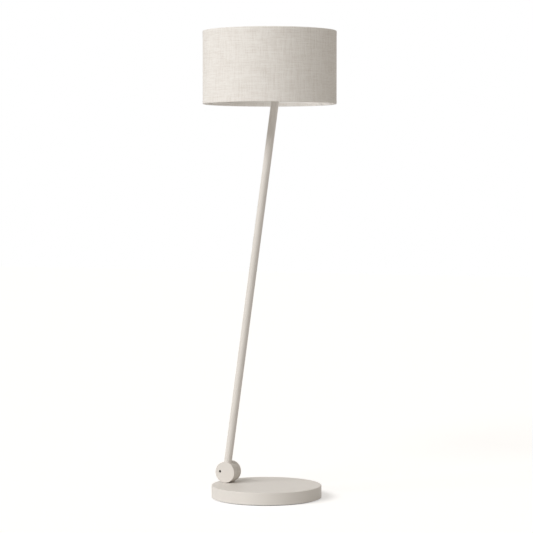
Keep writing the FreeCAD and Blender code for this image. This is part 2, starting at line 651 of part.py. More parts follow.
def rear_disc():
    """Turned disc with a cavity behind its web, a foot on the base and an arc slot for the stop."""
    rim = "places.disc_r"
    body = turned("rear_disc_body", [
        ("places.rear_front", "places.bush_r"),
        *eased("places.rear_front", rim, -1, 1, "dims.disc_edge"),
        *reversed(eased("places.rear_back", rim, 1, 1, "dims.disc_edge")),
        ("places.rear_back", "dims.cap_diameter / 2"),
        ("places.cavity_mouth", "dims.cap_diameter / 2"),
        ("places.cavity_mouth", "dims.cavity_diameter / 2"),
        ("places.cavity_floor", "dims.cavity_diameter / 2"),
        ("places.cavity_floor", "places.bush_r")], upright=False)
    foot_length = "dims.rear_disc - 2 * dims.foot_inset"
    foot = box("foot_blank", "dims.foot_width", foot_length,
               "places.disc_r + dims.disc_rise",
               at("0 - dims.foot_width / 2", "places.rear_front + dims.foot_inset",
                  "0 - places.disc_r - dims.disc_rise"))
    hollow = cylinder("foot_hollow", "places.disc_r - dims.disc_edge", "2 * dims.rear_disc",
                      at("0", "places.rear_front - dims.rear_disc / 2", "0", ALONG_Y, "90"))
    solid = fused("rear_disc_footed", body, cut("foot_curved", foot, hollow))
    half = "dims.foot_screw_spacing / 2"
    bottom = "0 - places.disc_r - dims.disc_rise"
    thread = "dims.foot_screw / 2 + dims.seat_gap"
    depth = "dims.foot_screw_depth + dims.hole_end"
    lead_radius = "dims.lead_passage / 2"
    slot = arc_slot()
    node(cut("rear_disc_cut", solid,
             cylinder("foot_thread_a", thread, depth,
                      at("0 - " + half, "places.foot_screw_y", bottom)),
             cylinder("foot_thread_b", thread, depth, at(half, "places.foot_screw_y", bottom)),
             cylinder("rear_disc_lead", lead_radius, "places.disc_r",
                      at("0", "places.lead_y", bottom)), slot),
         "hinge_rear_disc", HINGE)

    cap = turned("rear_cap_body", [
        ("places.cavity_mouth", "0"), ("places.rear_back", "0"),
        ("places.rear_back", "dims.cap_diameter / 2 - dims.seat_gap"),
        ("places.cavity_mouth", "dims.cap_diameter / 2 - dims.seat_gap")], upright=False)
    node(cap, "rear_cap", HINGE)


def arc_slot():
    """Slot in the rear disc's front face that the stop pin travels in."""
    width = "dims.stop_pin / 2 + dims.stop_play"
    depth = "dims.stop_pin_reach + dims.disc_gap"
    sweep = "dims.pole_lean + dims.lean_more"
    sector = doc.addObject("Part::Cylinder", "slot_outer")
    lay = at("0", "places.rear_front", "0", ALONG_Y, "90")
    bind(sector, Radius="dims.stop_pin_radius + " + width, Height=depth, Angle=sweep,
         Placement=lay + " * " + at(angle="0 - dims.pole_lean"))
    inner = cylinder("slot_inner", "dims.stop_pin_radius - dims.stop_pin / 2 - dims.stop_play",
                     depth, lay)
    upright_end = cylinder("slot_upright", width, depth,
                           lay + " * " + at(angle="0 - dims.pole_lean") + " * "
                           + at("dims.stop_pin_radius"))
    leaning_end = cylinder("slot_leaning", width, depth,
                           lay + " * " + at(angle="dims.lean_more") + " * "
                           + at("dims.stop_pin_radius"))
    return fused("slot", cut("slot_arc", sector, inner), upright_end, leaning_end)


def hinge_small_parts():
    """Bush, friction washer and foot screws of the fixed side."""
    node(ring_of("hinge_bush_body", "places.axle_r + dims.running_gap",
                 "places.bush_r - dims.seat_gap", "places.rear_front", "places.cavity_floor",
                 upright=False), "hinge_bush", HINGE)
    node(ring_of("friction_washer_body", "places.bush_r", "dims.friction_washer_diameter / 2",
                 "places.front_back + dims.washer_play", "places.rear_front - dims.washer_play",
                 upright=False), "friction_washer", HINGE)

    head = "dims.foot_screw_head / 2"
    shaft = "dims.foot_screw / 2"
    low = "places.weight_under + dims.foot_screw_sink"
    neck = low + " + dims.foot_screw_head_height"
    high = "dims.base_height + dims.foot_screw_depth"
    screws = []
    for index, side in enumerate((-0.5, 0.5)):
        screw = turned("foot_screw_%d" % index, [
            ("0", low), (head, low), (head, neck), (shaft, neck), (shaft, high), ("0", high)])
        socket = hexagon("foot_socket_%d" % index, "dims.foot_screw_socket",
                         "dims.foot_screw_head_height / 2", at("0", "0", low))
        drilled = cut("foot_screw_cut_%d" % index, screw, socket)
        drilled.setExpression("Placement", at(
            "places.hinge_x + dims.foot_screw_spacing * %s" % side, "places.foot_screw_y"))
        screws.append(drilled)
    node(fused("foot_screw_group", *screws), "foot_screws")


# ---------------------------------------------------------------- hinge, turning side

def front_disc():
    """Turned disc that carries the pole; blind bore for the axle, seat for the spigot."""
    rim = "places.disc_r"
    half = "dims.front_disc / 2"
    bore = "places.axle_r + dims.seat_gap"
    bore_end = "places.axle_front - places.pole_y"
    body = turned("front_disc_body", [
        ("0 - " + half, "0"), *eased("0 - " + half, rim, -1, 1, "dims.disc_edge"),
        *reversed(eased(half, rim, 1, 1, "dims.disc_edge")), (half, bore),
        (bore_end, bore), (bore_end, "0")], upright=False)
    seat = "places.disc_r - dims.spigot_seat"
    node(cut("front_disc_cut", body,
             cylinder("spigot_seat", "places.pole_bore_r", "places.disc_r", at("0", "0", seat)),
             cylinder("stud_hole", "dims.stud_diameter / 2 + dims.seat_gap", "dims.stud_length + dims.hole_end",
                      at("0", "0", seat + " - dims.stud_length")),
             cylinder("disc_lead_hole", "dims.lead_passage / 2", "places.disc_r",
                      at("0", "0", "0")),
             cylinder("lock_hole", "dims.lock_screw / 2 + dims.seat_gap", "2 * dims.front_disc",
                      at("0 - dims.lock_radius", "0 - dims.front_disc", "0", ALONG_Y, "90")),
             cylinder("stop_hole", "dims.stop_pin / 2 + dims.seat_gap", "dims.stop_pin_depth + dims.hole_end",
                      stop_place(half + " - dims.stop_pin_depth"))),
         "hinge_front_disc", POLE)


def stop_place(y):
    """Stop pin's place in the pole's frame: level with the axis, towards +X, at rest."""
    return (at(axis="0; 1; 0", angle="0 - dims.pole_lean") + " * "
            + at("dims.stop_pin_radius", y, "0", ALONG_Y, "90"))


def axle_group():
    """Hollow axle, its washer, coned spring and nut, and the stop pin."""
    shift = "places.pole_y"
    front = "places.axle_front - " + shift
    back = "places.axle_back - " + shift
    bore_end = "%s + dims.axle_end_wall" % front
    body = turned("axle_body", [
        (front, "0"), (front, "places.axle_r"), (back, "places.axle_r"),
        (back, "dims.lead_passage / 2"), (bore_end, "dims.lead_passage / 2"),
        (bore_end, "0")], upright=False)
    side_hole = cylinder("axle_side_hole", "dims.lead_passage / 2", "dims.axle_diameter", at())
    node(cut("axle_cut", body, side_hole), "hinge_axle", POLE)

    inner = "places.axle_r + dims.seat_gap"
    node(ring_of("thrust_washer_body", inner, "dims.thrust_washer_diameter / 2",
                 "places.cavity_floor - %s + dims.washer_play" % shift,
                 "places.spring_at - " + shift, upright=False), "thrust_washer", POLE)
    base = "places.spring_at - " + shift
    top = "places.nut_at - " + shift
    outer = "dims.thrust_washer_diameter / 2"
    spring = turned("disc_spring_body", [
        (base, outer), (base + " + dims.disc_spring_wall", outer), (top, inner + " + dims.disc_spring_lip"),
        (top, inner), (top + " - dims.disc_spring_wall", inner)], upright=False)
    node(spring, "disc_spring", POLE)
    nut = hexagon("axle_nut_blank", "dims.axle_nut_flats", "dims.axle_nut",
                  at("0", top, "0", ALONG_Y, "90"))
    bore = cylinder("axle_nut_bore", inner, "2 * dims.axle_nut",
                    at("0", top + " - dims.axle_nut / 2", "0", ALONG_Y, "90"))
    node(cut("axle_nut_cut", nut, bore), "axle_nut", POLE)

    length = "dims.stop_pin_depth + dims.disc_gap + dims.stop_pin_reach - dims.stop_play"
    node(cylinder("stop_pin_body", "dims.stop_pin / 2", length,
                  POLE + " * " + stop_place("dims.front_disc / 2 - dims.stop_pin_depth")),
         "stop_pin")


def lock_group():
    """Grub screw in the front disc and the soft pad that it presses on the friction washer."""
    front = "0 - dims.front_disc / 2 + dims.lock_recess"
    back = front + " + dims.lock_screw_length"
    away = at("0 - dims.lock_radius")
    screw = turned("lock_screw_body", [
        (front, "0"), (front, "dims.lock_screw / 2"), (back, "dims.lock_screw / 2"),
        (back, "0")], upright=False)
    socket = hexagon("lock_socket_cut", "dims.lock_socket", "dims.lock_socket_depth",
                     at("0", front, "0", ALONG_Y, "90"))
    drilled = cut("lock_screw_cut", screw, socket)
    node(drilled, "lock_screw", POLE + " * " + away)
    pad = turned("lock_pad_body", [
        (back, "0"), (back, "dims.lock_pad / 2"), ("dims.front_disc / 2", "dims.lock_pad / 2"),
        ("dims.front_disc / 2", "0")], upright=False)
    node(pad, "lock_pad", POLE + " * " + away)


# ---------------------------------------------------------------- pole

def pole_group():
    """Spigot, tube with a coped lower end, grub screws and the lead inside."""
    spigot_r = "places.pole_bore_r - dims.seat_gap"
    seat = "places.disc_r - dims.spigot_seat"
    top = "places.disc_r + dims.spigot_reach"
    stud = "dims.stud_diameter / 2"
    passage = "dims.lead_passage / 2"
    low = seat + " - dims.stud_length"
    spigot = turned("spigot_body", [
        (passage, low), (stud, low), (stud, seat), (spigot_r, seat), (spigot_r, top),
        (passage, top)])
    grub_low = "places.disc_r + dims.spigot_reach / 2"
    grub_high = "places.pole_end - dims.plug_length / 2"
    thread = "dims.grub_screw / 2 + dims.seat_gap"
    start_y = "dims.pole_diameter / 2 - dims.grub_screw_length"
    low_place = at("0", start_y, grub_low, ALONG_Y, "90")
    high_place = at("0", start_y, grub_high, ALONG_Y, "90")
    node(cut("spigot_cut", spigot,
             cylinder("spigot_thread", thread, "dims.pole_diameter", low_place)),
         "pole_spigot", POLE)

    tube = ring_of("pole_tube_body", "places.pole_bore_r", "dims.pole_diameter / 2", "0",
                   "places.pole_end")
    cope = cylinder("pole_cope", "places.disc_r", "2 * dims.pole_diameter",
                    at("0", "0 - dims.pole_diameter", "0", ALONG_Y, "90"))
    node(cut("pole_tube_cut", tube, cope,
             cylinder("tube_grub_low", thread, "dims.pole_diameter", low_place),
             cylinder("tube_grub_high", thread, "dims.pole_diameter", high_place)),
         "pole_tube", POLE)

    grubs = []
    for index, place in enumerate((low_place, high_place)):
        screw = cylinder("grub_%d" % index, "dims.grub_screw / 2", "dims.grub_screw_length - 0.5",
                         place)
        socket = hexagon("grub_socket_%d" % index, "dims.grub_screw / 2",
                         "dims.grub_screw_length / 2",
                         place + " * " + at("0", "0", "dims.grub_screw_length / 2"))
        grubs.append(cut("grub_cut_%d" % index, screw, socket))
    node(fused("grub_group", *grubs), "pole_grub_screws", POLE)

    bend = value("dims.lead_bend")
    route = [
        point("0", "places.lead_meets - places.pole_y", "0"), point("0", "0", "0"),
        point("0", "0", "places.pivot_reach"),
        point("0", "places.swivel_meets - places.pole_y", "places.pivot_reach")]
    node(bent_lead("pole_lead_solid", route, [bend, bend]), "pole_lead", POLE)


# ---------------------------------------------------------------- swivel

def bevelled_disc(name, half):
    """Swivel disc about its own centre, with a bevelled outer face."""
    shoulder = "places.swivel_r - dims.swivel_edge"
    return turned(name, [
        ("0 - " + half, "0"), ("0 - " + half, shoulder),
        ("dims.swivel_edge - " + half, "places.swivel_r"), (half, "places.swivel_r"),
        (half, "0")], upright=False)


def swivel_lower():
    """Plug in the pole's upper end, with a collar, a neck and the lower swivel disc."""
    passage = "dims.lead_passage / 2"
    plug = "places.pole_bore_r - dims.seat_gap"
    end = "places.pole_end"
    collar = end + " + dims.collar_height"
    shank = turned("plug_body", [
        ("0", end + " - dims.plug_length"), (plug, end + " - dims.plug_length"), (plug, end),
        ("dims.pole_diameter / 2", end), ("dims.pole_diameter / 2", collar),
        ("dims.neck_diameter / 2", collar), ("dims.neck_diameter / 2", "places.pivot_reach"),
        ("0", "places.pivot_reach")])
    half = "dims.swivel_disc / 2"
    disc = bevelled_disc("lower_disc_body", half)
    disc.setExpression("Placement", at("0", "0", "places.pivot_reach"))
    trim = box("neck_trim", "dims.swivel_diameter", "dims.swivel_diameter",
               "dims.swivel_diameter",
               at("0 - places.swivel_r", half, "places.pivot_reach - dims.neck_diameter"))
    trim_front = box("neck_trim_front", "dims.swivel_diameter", "dims.swivel_diameter",
                     "dims.swivel_diameter",
                     at("0 - places.swivel_r", "0 - %s - dims.swivel_diameter" % half,
                        "places.pivot_reach - dims.neck_diameter"))
    solid = fused("knuckle", cut("neck_flat", shank, trim, trim_front), disc)
    bore = cylinder("knuckle_bore", "dims.bolt_diameter / 2 + dims.seat_gap",
                    "2 * dims.swivel_disc",
                    at("0", "0 - dims.swivel_disc", "places.pivot_reach", ALONG_Y, "90"))
    lead = cylinder("knuckle_lead", passage, "dims.plug_length + 2 * dims.swivel_diameter",
                    at("0", "0", end + " - dims.plug_length - dims.hole_end"))
    over = box("lead_stop", "dims.swivel_diameter", "dims.swivel_diameter",
               "2 * dims.swivel_diameter",
               at("0 - places.swivel_r", "0 - places.swivel_r", "places.pivot_reach"))
    grub = cylinder("plug_thread", "dims.grub_screw / 2 + dims.seat_gap", "dims.pole_diameter",
                    at("0", "dims.pole_diameter / 2 - dims.grub_screw_length",
                       end + " - dims.plug_length / 2", ALONG_Y, "90"))
    node(cut("knuckle_cut", solid, bore, cut("knuckle_lead_run", lead, over), grub),
         "swivel_lower", POLE)


def swivel_bolt_group():
    """Hollow bolt fixed in the lower disc, its spring washer and its nut."""
    front = "places.swivel_front - places.pole_y"
    back = "places.bolt_back - places.pole_y"
    passage = "dims.lead_passage / 2"
    closed = "0 - dims.lead_passage / 2 - dims.bolt_end_gap"
    shank = "dims.bolt_diameter / 2"
    head = "dims.bolt_head / 2"
    body = turned("bolt_body", [
        (front + " - dims.bolt_head_height", "0"), (front + " - dims.bolt_head_height", head),
        (front, head), (front, shank), (back, shank), (back, passage), (closed, passage),
        (closed, "0")], upright=False)
    entry = cylinder("bolt_entry", passage, "dims.bolt_diameter",
                     at("0", "0", "0 - dims.bolt_diameter"))
    window = box("bolt_window", "dims.bolt_diameter", "dims.lead_passage", "dims.window_height",
                 at("0 - dims.bolt_diameter",
                    "places.shade_y - places.pole_y - dims.lead_passage / 2",
                    "0 - dims.window_height / 2"))
    turn = at(axis="0; 1; 0", angle="0 - dims.pole_lean")
    window.setExpression("Placement", turn + " * " + at(
        "0 - dims.bolt_diameter", "places.shade_y - places.pole_y - dims.lead_passage / 2",
        "0 - dims.window_height / 2"))
    top = POLE + " * " + at("0", "0", "places.pivot_reach")
    node(cut("bolt_cut", body, entry, window), "swivel_bolt", top)

    hole = "dims.bolt_diameter / 2 + dims.seat_gap"
    washer_front = "places.swivel_back - places.pole_y + dims.washer_play"
    nut_front = "places.swivel_back - places.pole_y + dims.swivel_washer"
    node(ring_of("swivel_washer_body", hole, "dims.swivel_nut_flats / 2", washer_front,
                 nut_front, upright=False), "swivel_washer", top)
    nut = hexagon("swivel_nut_blank", "dims.swivel_nut_flats", "dims.swivel_nut",
                  at("0", nut_front, "0", ALONG_Y, "90"))
    bore = cylinder("swivel_nut_bore", hole, "2 * dims.swivel_nut",
                    at("0", nut_front + " - dims.swivel_nut / 2", "0", ALONG_Y, "90"))
    node(cut("swivel_nut_cut", nut, bore), "swivel_nut", top)


def swivel_arm():
    """Upper swivel disc with the arm that brings the lampholder onto the shade's axis."""
    half = "dims.swivel_disc / 2"
    mid = "places.shade_y"
    disc = bevelled_disc("arm_disc_body", half)
    disc.setExpression("Placement", at("0", mid, "0"))
    bar = box("arm_bar", "dims.arm_length", "dims.swivel_disc", "dims.arm_height",
              at("0 - dims.arm_length", mid + " - " + half, "0 - places.arm_top"))
    boss = cylinder("arm_boss", "dims.boss_diameter / 2", "dims.arm_height",
                    at("0 - dims.arm_length", mid, "0 - places.arm_top"))
    solid = fused("arm_solid", disc, bar, boss)
    bore = cylinder("arm_bore", "dims.bolt_diameter / 2 + dims.running_gap",
                    "2 * dims.swivel_disc", at("0", mid + " - dims.swivel_disc", "0", ALONG_Y, "90"))
    channel = cylinder("arm_channel", "dims.lead_passage / 2", "dims.arm_length",
                       at("0 - dims.arm_length", mid, "0", ALONG_X, "90"))
    thread = cylinder("arm_thread", "dims.nipple_diameter / 2 + dims.seat_gap", "dims.arm_height",
                      at("0 - dims.arm_length", mid, "0"))
    corner = doc.addObject("Part::Sphere", "channel_end")
    bind(corner, Radius="dims.lead_passage / 2", Placement=at("0 - dims.arm_length", mid, "0"))
    node(cut("arm_cut", solid, bore, channel, thread, corner), "swivel_arm", HEAD)


# ---------------------------------------------------------------- lampholder and bulb

def nipple_group():
    """Threaded tube in the arm and the lock nut under the lampholder."""
    passage = "dims.lead_passage / 2"
    node(ring_of("nipple_body", passage, "dims.nipple_diameter / 2", "dims.lead_passage / 2",
                 "places.arm_top + dims.nipple_reach"), "holder_nipple", SHADE)
    nut = hexagon("nipple_nut_blank", "dims.nipple_nut_flats", "dims.nipple_nut",
                  at("0", "0", "places.arm_top"))
    bore = cylinder("nipple_nut_bore", "dims.nipple_diameter / 2 + dims.seat_gap",
                    "dims.nipple_nut", at("0", "0", "places.arm_top"))
    node(cut("nipple_nut_cut", nut, bore), "nipple_nut", SHADE)


def lampholder():
    """Cap, contact block, threaded sleeve, screw shell, centre contact and two shade rings."""
    outer = "dims.holder_diameter / 2 - dims.cap_step"
    inner = outer + " - dims.holder_wall"
    neck = "dims.holder_neck / 2"
    thread = "dims.nipple_diameter / 2 + dims.seat_gap"
    shoulder = "places.holder_low + dims.holder_neck_height"
    body = turned("holder_cap_body", [
        (thread, "places.holder_low"), (neck, "places.holder_low"), (neck, shoulder),
        (outer, shoulder + " + dims.cap_slope"), (outer, "places.sleeve_low"), (inner, "places.sleeve_low"),
        (inner, shoulder + " + dims.cap_slope + dims.holder_wall / 2"),
        (thread, shoulder + " + dims.holder_wall")])
    node(body, "holder_cap", SHADE)

    bore = "dims.holder_diameter / 2 - dims.holder_wall"
    node(ring_of("holder_sleeve_body", bore, "dims.holder_diameter / 2", "places.sleeve_low",
                 "places.sleeve_high"), "holder_sleeve", SHADE)
    block = "dims.holder_diameter / 2 - dims.cap_step - dims.holder_wall - dims.seat_gap"
    node(turned("insert_body", [
        ("0", "places.insert_low"), (block, "places.insert_low"), (block, "places.insert_high"),
        ("0", "places.insert_high")]), "holder_insert", SHADE)
    shell = "dims.shell_diameter / 2"
    node(ring_of("holder_shell_body", shell, shell + " + dims.shell_wall", "places.insert_high",
                 "places.insert_high + dims.shell_height"), "holder_shell", SHADE)
    node(turned("contact_body", [
        ("0", "places.insert_high"), ("dims.tip_diameter / 2", "places.insert_high"),
        ("dims.tip_diameter / 2", "places.bulb_low"), ("0", "places.bulb_low")]),
        "holder_contact", SHADE)

    thread_in = "dims.holder_diameter / 2 + dims.seat_gap"
    ring = "dims.ring_diameter / 2"
    step = "dims.ring_flange"
    for label, low, high, flange in (
            ("shade_ring_lower", "places.ring_low", "places.fitter_low", "high"),
            ("shade_ring_upper", "places.fitter_high", "places.fitter_high + dims.ring_height",
             "low")):
        slim = ring + " - dims.ring_step"
        if flange == "high":
            corners = [(thread_in, low), (slim, low), (slim, high + " - " + step),
                       (ring, high + " - " + step), (ring, high), (thread_in, high)]
        else:
            corners = [(thread_in, low), (ring, low), (ring, low + " + " + step),
                       (slim, low + " + " + step), (slim, high), (thread_in, high)]
        node(turned(label + "_body", corners), label, SHADE)


def bulb():
    """Screw cap with its tip, housing and opal globe."""
    cap = "dims.cap_thread / 2"
    tip = "dims.tip_diameter / 2"
    node(turned("bulb_cap_body", [
        ("0", "places.bulb_low"), (tip, "places.bulb_low"), (cap, "places.bulb_cap_low"),
        (cap, "places.bulb_cap_high"), ("0", "places.bulb_cap_high")]), "bulb_cap", SHADE)
    edge = "sqrt(pow(dims.globe_diameter / 2; 2) - pow(dims.globe_cut; 2))"
    node(turned("bulb_housing_body", [
        ("0", "places.bulb_cap_high"), (cap + " + dims.housing_lip", "places.bulb_cap_high"),
        (edge, "places.globe_low"), ("0", "places.globe_low")]), "bulb_housing", SHADE)
    ball = doc.addObject("Part::Sphere", "globe_ball")
    bind(ball, Radius="dims.globe_diameter / 2", Placement=at("0", "0", "places.globe_z"))
    under = box("globe_under", "dims.globe_diameter", "dims.globe_diameter",
                "dims.globe_diameter",
                at("0 - dims.globe_diameter / 2", "0 - dims.globe_diameter / 2",
                   "places.globe_low - dims.globe_diameter"))
    node(cut("globe_cut", ball, under), "bulb_globe", SHADE)


def head_lead():
    """Lead from the swivel's hollow bolt through the arm into the contact block."""
    bend = value("dims.lead_bend")
    route = [
        point("0", "places.swivel_meets", "0"), point("0", "places.shade_y", "0"),
        point("0 - dims.arm_length", "places.shade_y", "0"),
        point("0 - dims.arm_length", "places.shade_y", "places.insert_low")]
    node(bent_lead("head_lead_solid", route, [bend, bend]), "head_lead", HEAD)


# ---------------------------------------------------------------- shade

def shade():
    """Drum of fabric on a stiff liner, wire rings, turned-in hems and a three-armed frame."""
    outer = "dims.shade_diameter / 2"
    node(ring_of("shade_fabric_body", "places.liner_out", outer, "places.rim_low",
                 "places.rim_high"), "shade_fabric", SHADE)
    node(ring_of("shade_liner_body", "places.liner_in", "places.liner_out", "places.rim_low",
                 "places.rim_high"), "shade_liner", SHADE)
    node(wire_ring("top_wire", "places.wire_high"), "top_ring", SHADE)

    for label, edge, sign in (("top_hem", "places.rim_high", "-"),
                              ("lower_hem", "places.rim_low", "+")):
        lip = "%s %s dims.hem_cloth" % (edge, sign)
        tail = "%s %s dims.hem_width" % (edge, sign)
        hem_out = "places.hem_in + dims.hem_cloth"
        body = turned(label + "_body", [
            ("places.liner_in", edge), ("places.hem_in", edge), ("places.hem_in", tail),
            (hem_out, tail), (hem_out, lip), ("places.liner_in", lip)])
        if label == "top_hem":
            node(body, label, SHADE)
        else:
            gaps = [spider_wire("hem_gap_%d" % index, index, "dims.wire / 2 + dims.seat_gap")
                    for index in range(int(value("dims.spider_arms")))]
            node(cut("lower_hem_cut", body, *gaps), label, SHADE)


def spider_wire(name, index, radius):
    """One arm of the frame, from the fitter ring down and out to the lower wire ring."""
    start = "dims.fitter_diameter / 2 - dims.wire / 4"
    run = "(places.wire_r - %s)" % start
    drop = "(places.fitter_low + dims.fitter / 2 - places.wire_low)"
    length = "sqrt(pow(%s; 2) + pow(%s; 2))" % (run, drop)
    tilt = "90 deg + atan2(%s; %s)" % (drop, run)
    turn = "360 / dims.spider_arms * %s" % (index + 0.5)
    place = (at(angle=turn) + " * " + at(start, "0", "places.fitter_low + dims.fitter / 2",
                                         "0; 1; 0", tilt))
    return cylinder(name, radius, length, place)


def shade_frame():
    """Fitter ring and its arms in one piece, and the lower wire ring the arms are welded to."""
    node(wire_ring("lower_wire", "places.wire_low"), "lower_ring", SHADE)
    seat = wire_ring("arm_seat", "places.wire_low")
    blank = cylinder("fitter_blank", "dims.fitter_diameter / 2", "dims.fitter",
                     at("0", "0", "places.fitter_low"))
    arms = [spider_wire("spider_arm_%d" % index, index, "dims.wire / 2")
            for index in range(int(value("dims.spider_arms")))]
    hole = cylinder("fitter_hole", "dims.holder_diameter / 2 + dims.clear_gap",
                    "6 * dims.fitter", at("0", "0", "places.fitter_low - 3 * dims.fitter"))
    node(cut("frame_cut", fused("frame_solid", blank, *arms), hole, seat), "shade_frame", SHADE)


base_cover()
base_weight()
bottom_plate()
floor_pad()
cord_inlet()
terminal_block()
base_lead()
rear_disc()
hinge_small_parts()
front_disc()
axle_group()
lock_group()
pole_group()
swivel_lower()
swivel_bolt_group()
swivel_arm()
nipple_group()
lampholder()
bulb()
head_lead()
shade()
shade_frame()
doc.recompute()

for item in doc.Objects:
    if "Invalid" in item.State or "Error" in item.State:
        raise RuntimeError("%s: %s" % (item.Name, item.State))
for item in sub_parts:
    if item.Shape.isNull() or not item.Shape.isValid():
        raise RuntimeError(item.Label + " has no valid shape")

os.makedirs("parts", exist_ok=True)
for item in sub_parts:
    item.Shape.exportStep("parts/%s.step" % item.Label)
print(len(sub_parts), "sub-parts written")
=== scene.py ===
"""Floor lamp: drum shade on a leaning pole, a tilting hinge and a round weighted base.

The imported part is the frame. Each operator makes one piece, or a group of like pieces,
in metres in the part's own axes, and every piece rides on the body that carries it.
"""

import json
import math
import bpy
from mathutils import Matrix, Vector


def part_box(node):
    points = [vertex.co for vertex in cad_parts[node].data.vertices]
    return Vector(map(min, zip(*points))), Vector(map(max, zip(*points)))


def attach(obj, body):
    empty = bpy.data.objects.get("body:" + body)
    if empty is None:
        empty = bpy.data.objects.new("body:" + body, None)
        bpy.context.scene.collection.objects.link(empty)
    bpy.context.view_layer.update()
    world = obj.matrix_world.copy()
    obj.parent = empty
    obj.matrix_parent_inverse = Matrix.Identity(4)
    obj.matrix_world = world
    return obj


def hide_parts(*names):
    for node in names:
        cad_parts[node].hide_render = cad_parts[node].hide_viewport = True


bl_info = {
    "name": "Floor lamp dress",
    "version": (1, 0, 0),
    "blender": (4, 5, 0),
    "location": "3D View > Sidebar > Lamp",
    "description": "Finished surfaces for a floor lamp with a drum shade",
    "category": "Object",
}

import bmesh
import bpy
from bpy.props import FloatProperty, FloatVectorProperty, IntProperty, PointerProperty
from mathutils import Matrix, Vector

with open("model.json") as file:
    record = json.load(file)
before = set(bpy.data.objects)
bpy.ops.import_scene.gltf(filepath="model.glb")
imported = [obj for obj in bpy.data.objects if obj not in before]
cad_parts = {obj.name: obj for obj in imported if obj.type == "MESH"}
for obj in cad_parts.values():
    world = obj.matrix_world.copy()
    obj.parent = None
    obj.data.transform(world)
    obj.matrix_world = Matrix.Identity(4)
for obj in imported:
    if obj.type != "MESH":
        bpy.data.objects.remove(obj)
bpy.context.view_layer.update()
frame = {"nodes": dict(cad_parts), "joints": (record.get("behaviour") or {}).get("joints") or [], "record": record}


# ---------------------------------------------------------------- places taken from the frame

def span(node, place):
    """Lowest and highest corner of a CAD node in the axes of a place."""
    inverse = place.inverted()
    points = [inverse @ vertex.co for vertex in frame["nodes"][node].data.vertices]
    return (Vector(min(p[axis] for p in points) for axis in range(3)),
            Vector(max(p[axis] for p in points) for axis in range(3)))


def joint_place(name):
    found = next(joint for joint in frame["joints"] if joint["name"] == name)
    return Vector(found["pos_m"])


def middle(node):
    low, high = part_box(node)
    return (low + high) / 2


def shift(x=0.0, y=0.0, z=0.0):
    return Matrix.Translation((x, y, z))


def turned(degrees, axis="Z"):
    return Matrix.Rotation(math.radians(degrees), 4, axis)


HINGE_AT = joint_place("pole_tilt")
PIVOT_AT = joint_place("head_level")
POLE_Y = middle("hinge_front_disc").y
HEAD_Y = middle("swivel_arm").y - POLE_Y
LEAN = math.atan2(PIVOT_AT.x - HINGE_AT.x, PIVOT_AT.z - HINGE_AT.z)
REACH = math.hypot(PIVOT_AT.x - HINGE_AT.x, PIVOT_AT.z - HINGE_AT.z)

ALONG_Y = turned(-90, "X")
ALONG_X = turned(90, "Y")
HINGE = Matrix.Translation(HINGE_AT)
POLE = shift(HINGE_AT.x, POLE_Y, HINGE_AT.z) @ Matrix.Rotation(LEAN, 4, "Y")
SWIVEL = POLE @ shift(z=REACH)
HEAD = shift(PIVOT_AT.x, POLE_Y + HEAD_Y, PIVOT_AT.z)
SHADE = shift(middle("shade_fabric").x, middle("shade_fabric").y)


# ---------------------------------------------------------------- sizes and colours

def length(label, meaning, default, least, most):
    return FloatProperty(name=label, description=meaning, default=default, min=least, max=most,
                         unit="LENGTH")


def colour(label, meaning, default):
    return FloatVectorProperty(name=label, description=meaning, default=default,
                               subtype="COLOR", min=0, max=1)


def angle(label, meaning, degrees):
    return FloatProperty(name=label, description=meaning, default=math.radians(degrees),
                         subtype="ANGLE")


def amount(label, meaning, default):
    return FloatProperty(name=label, description=meaning, default=default, min=0)


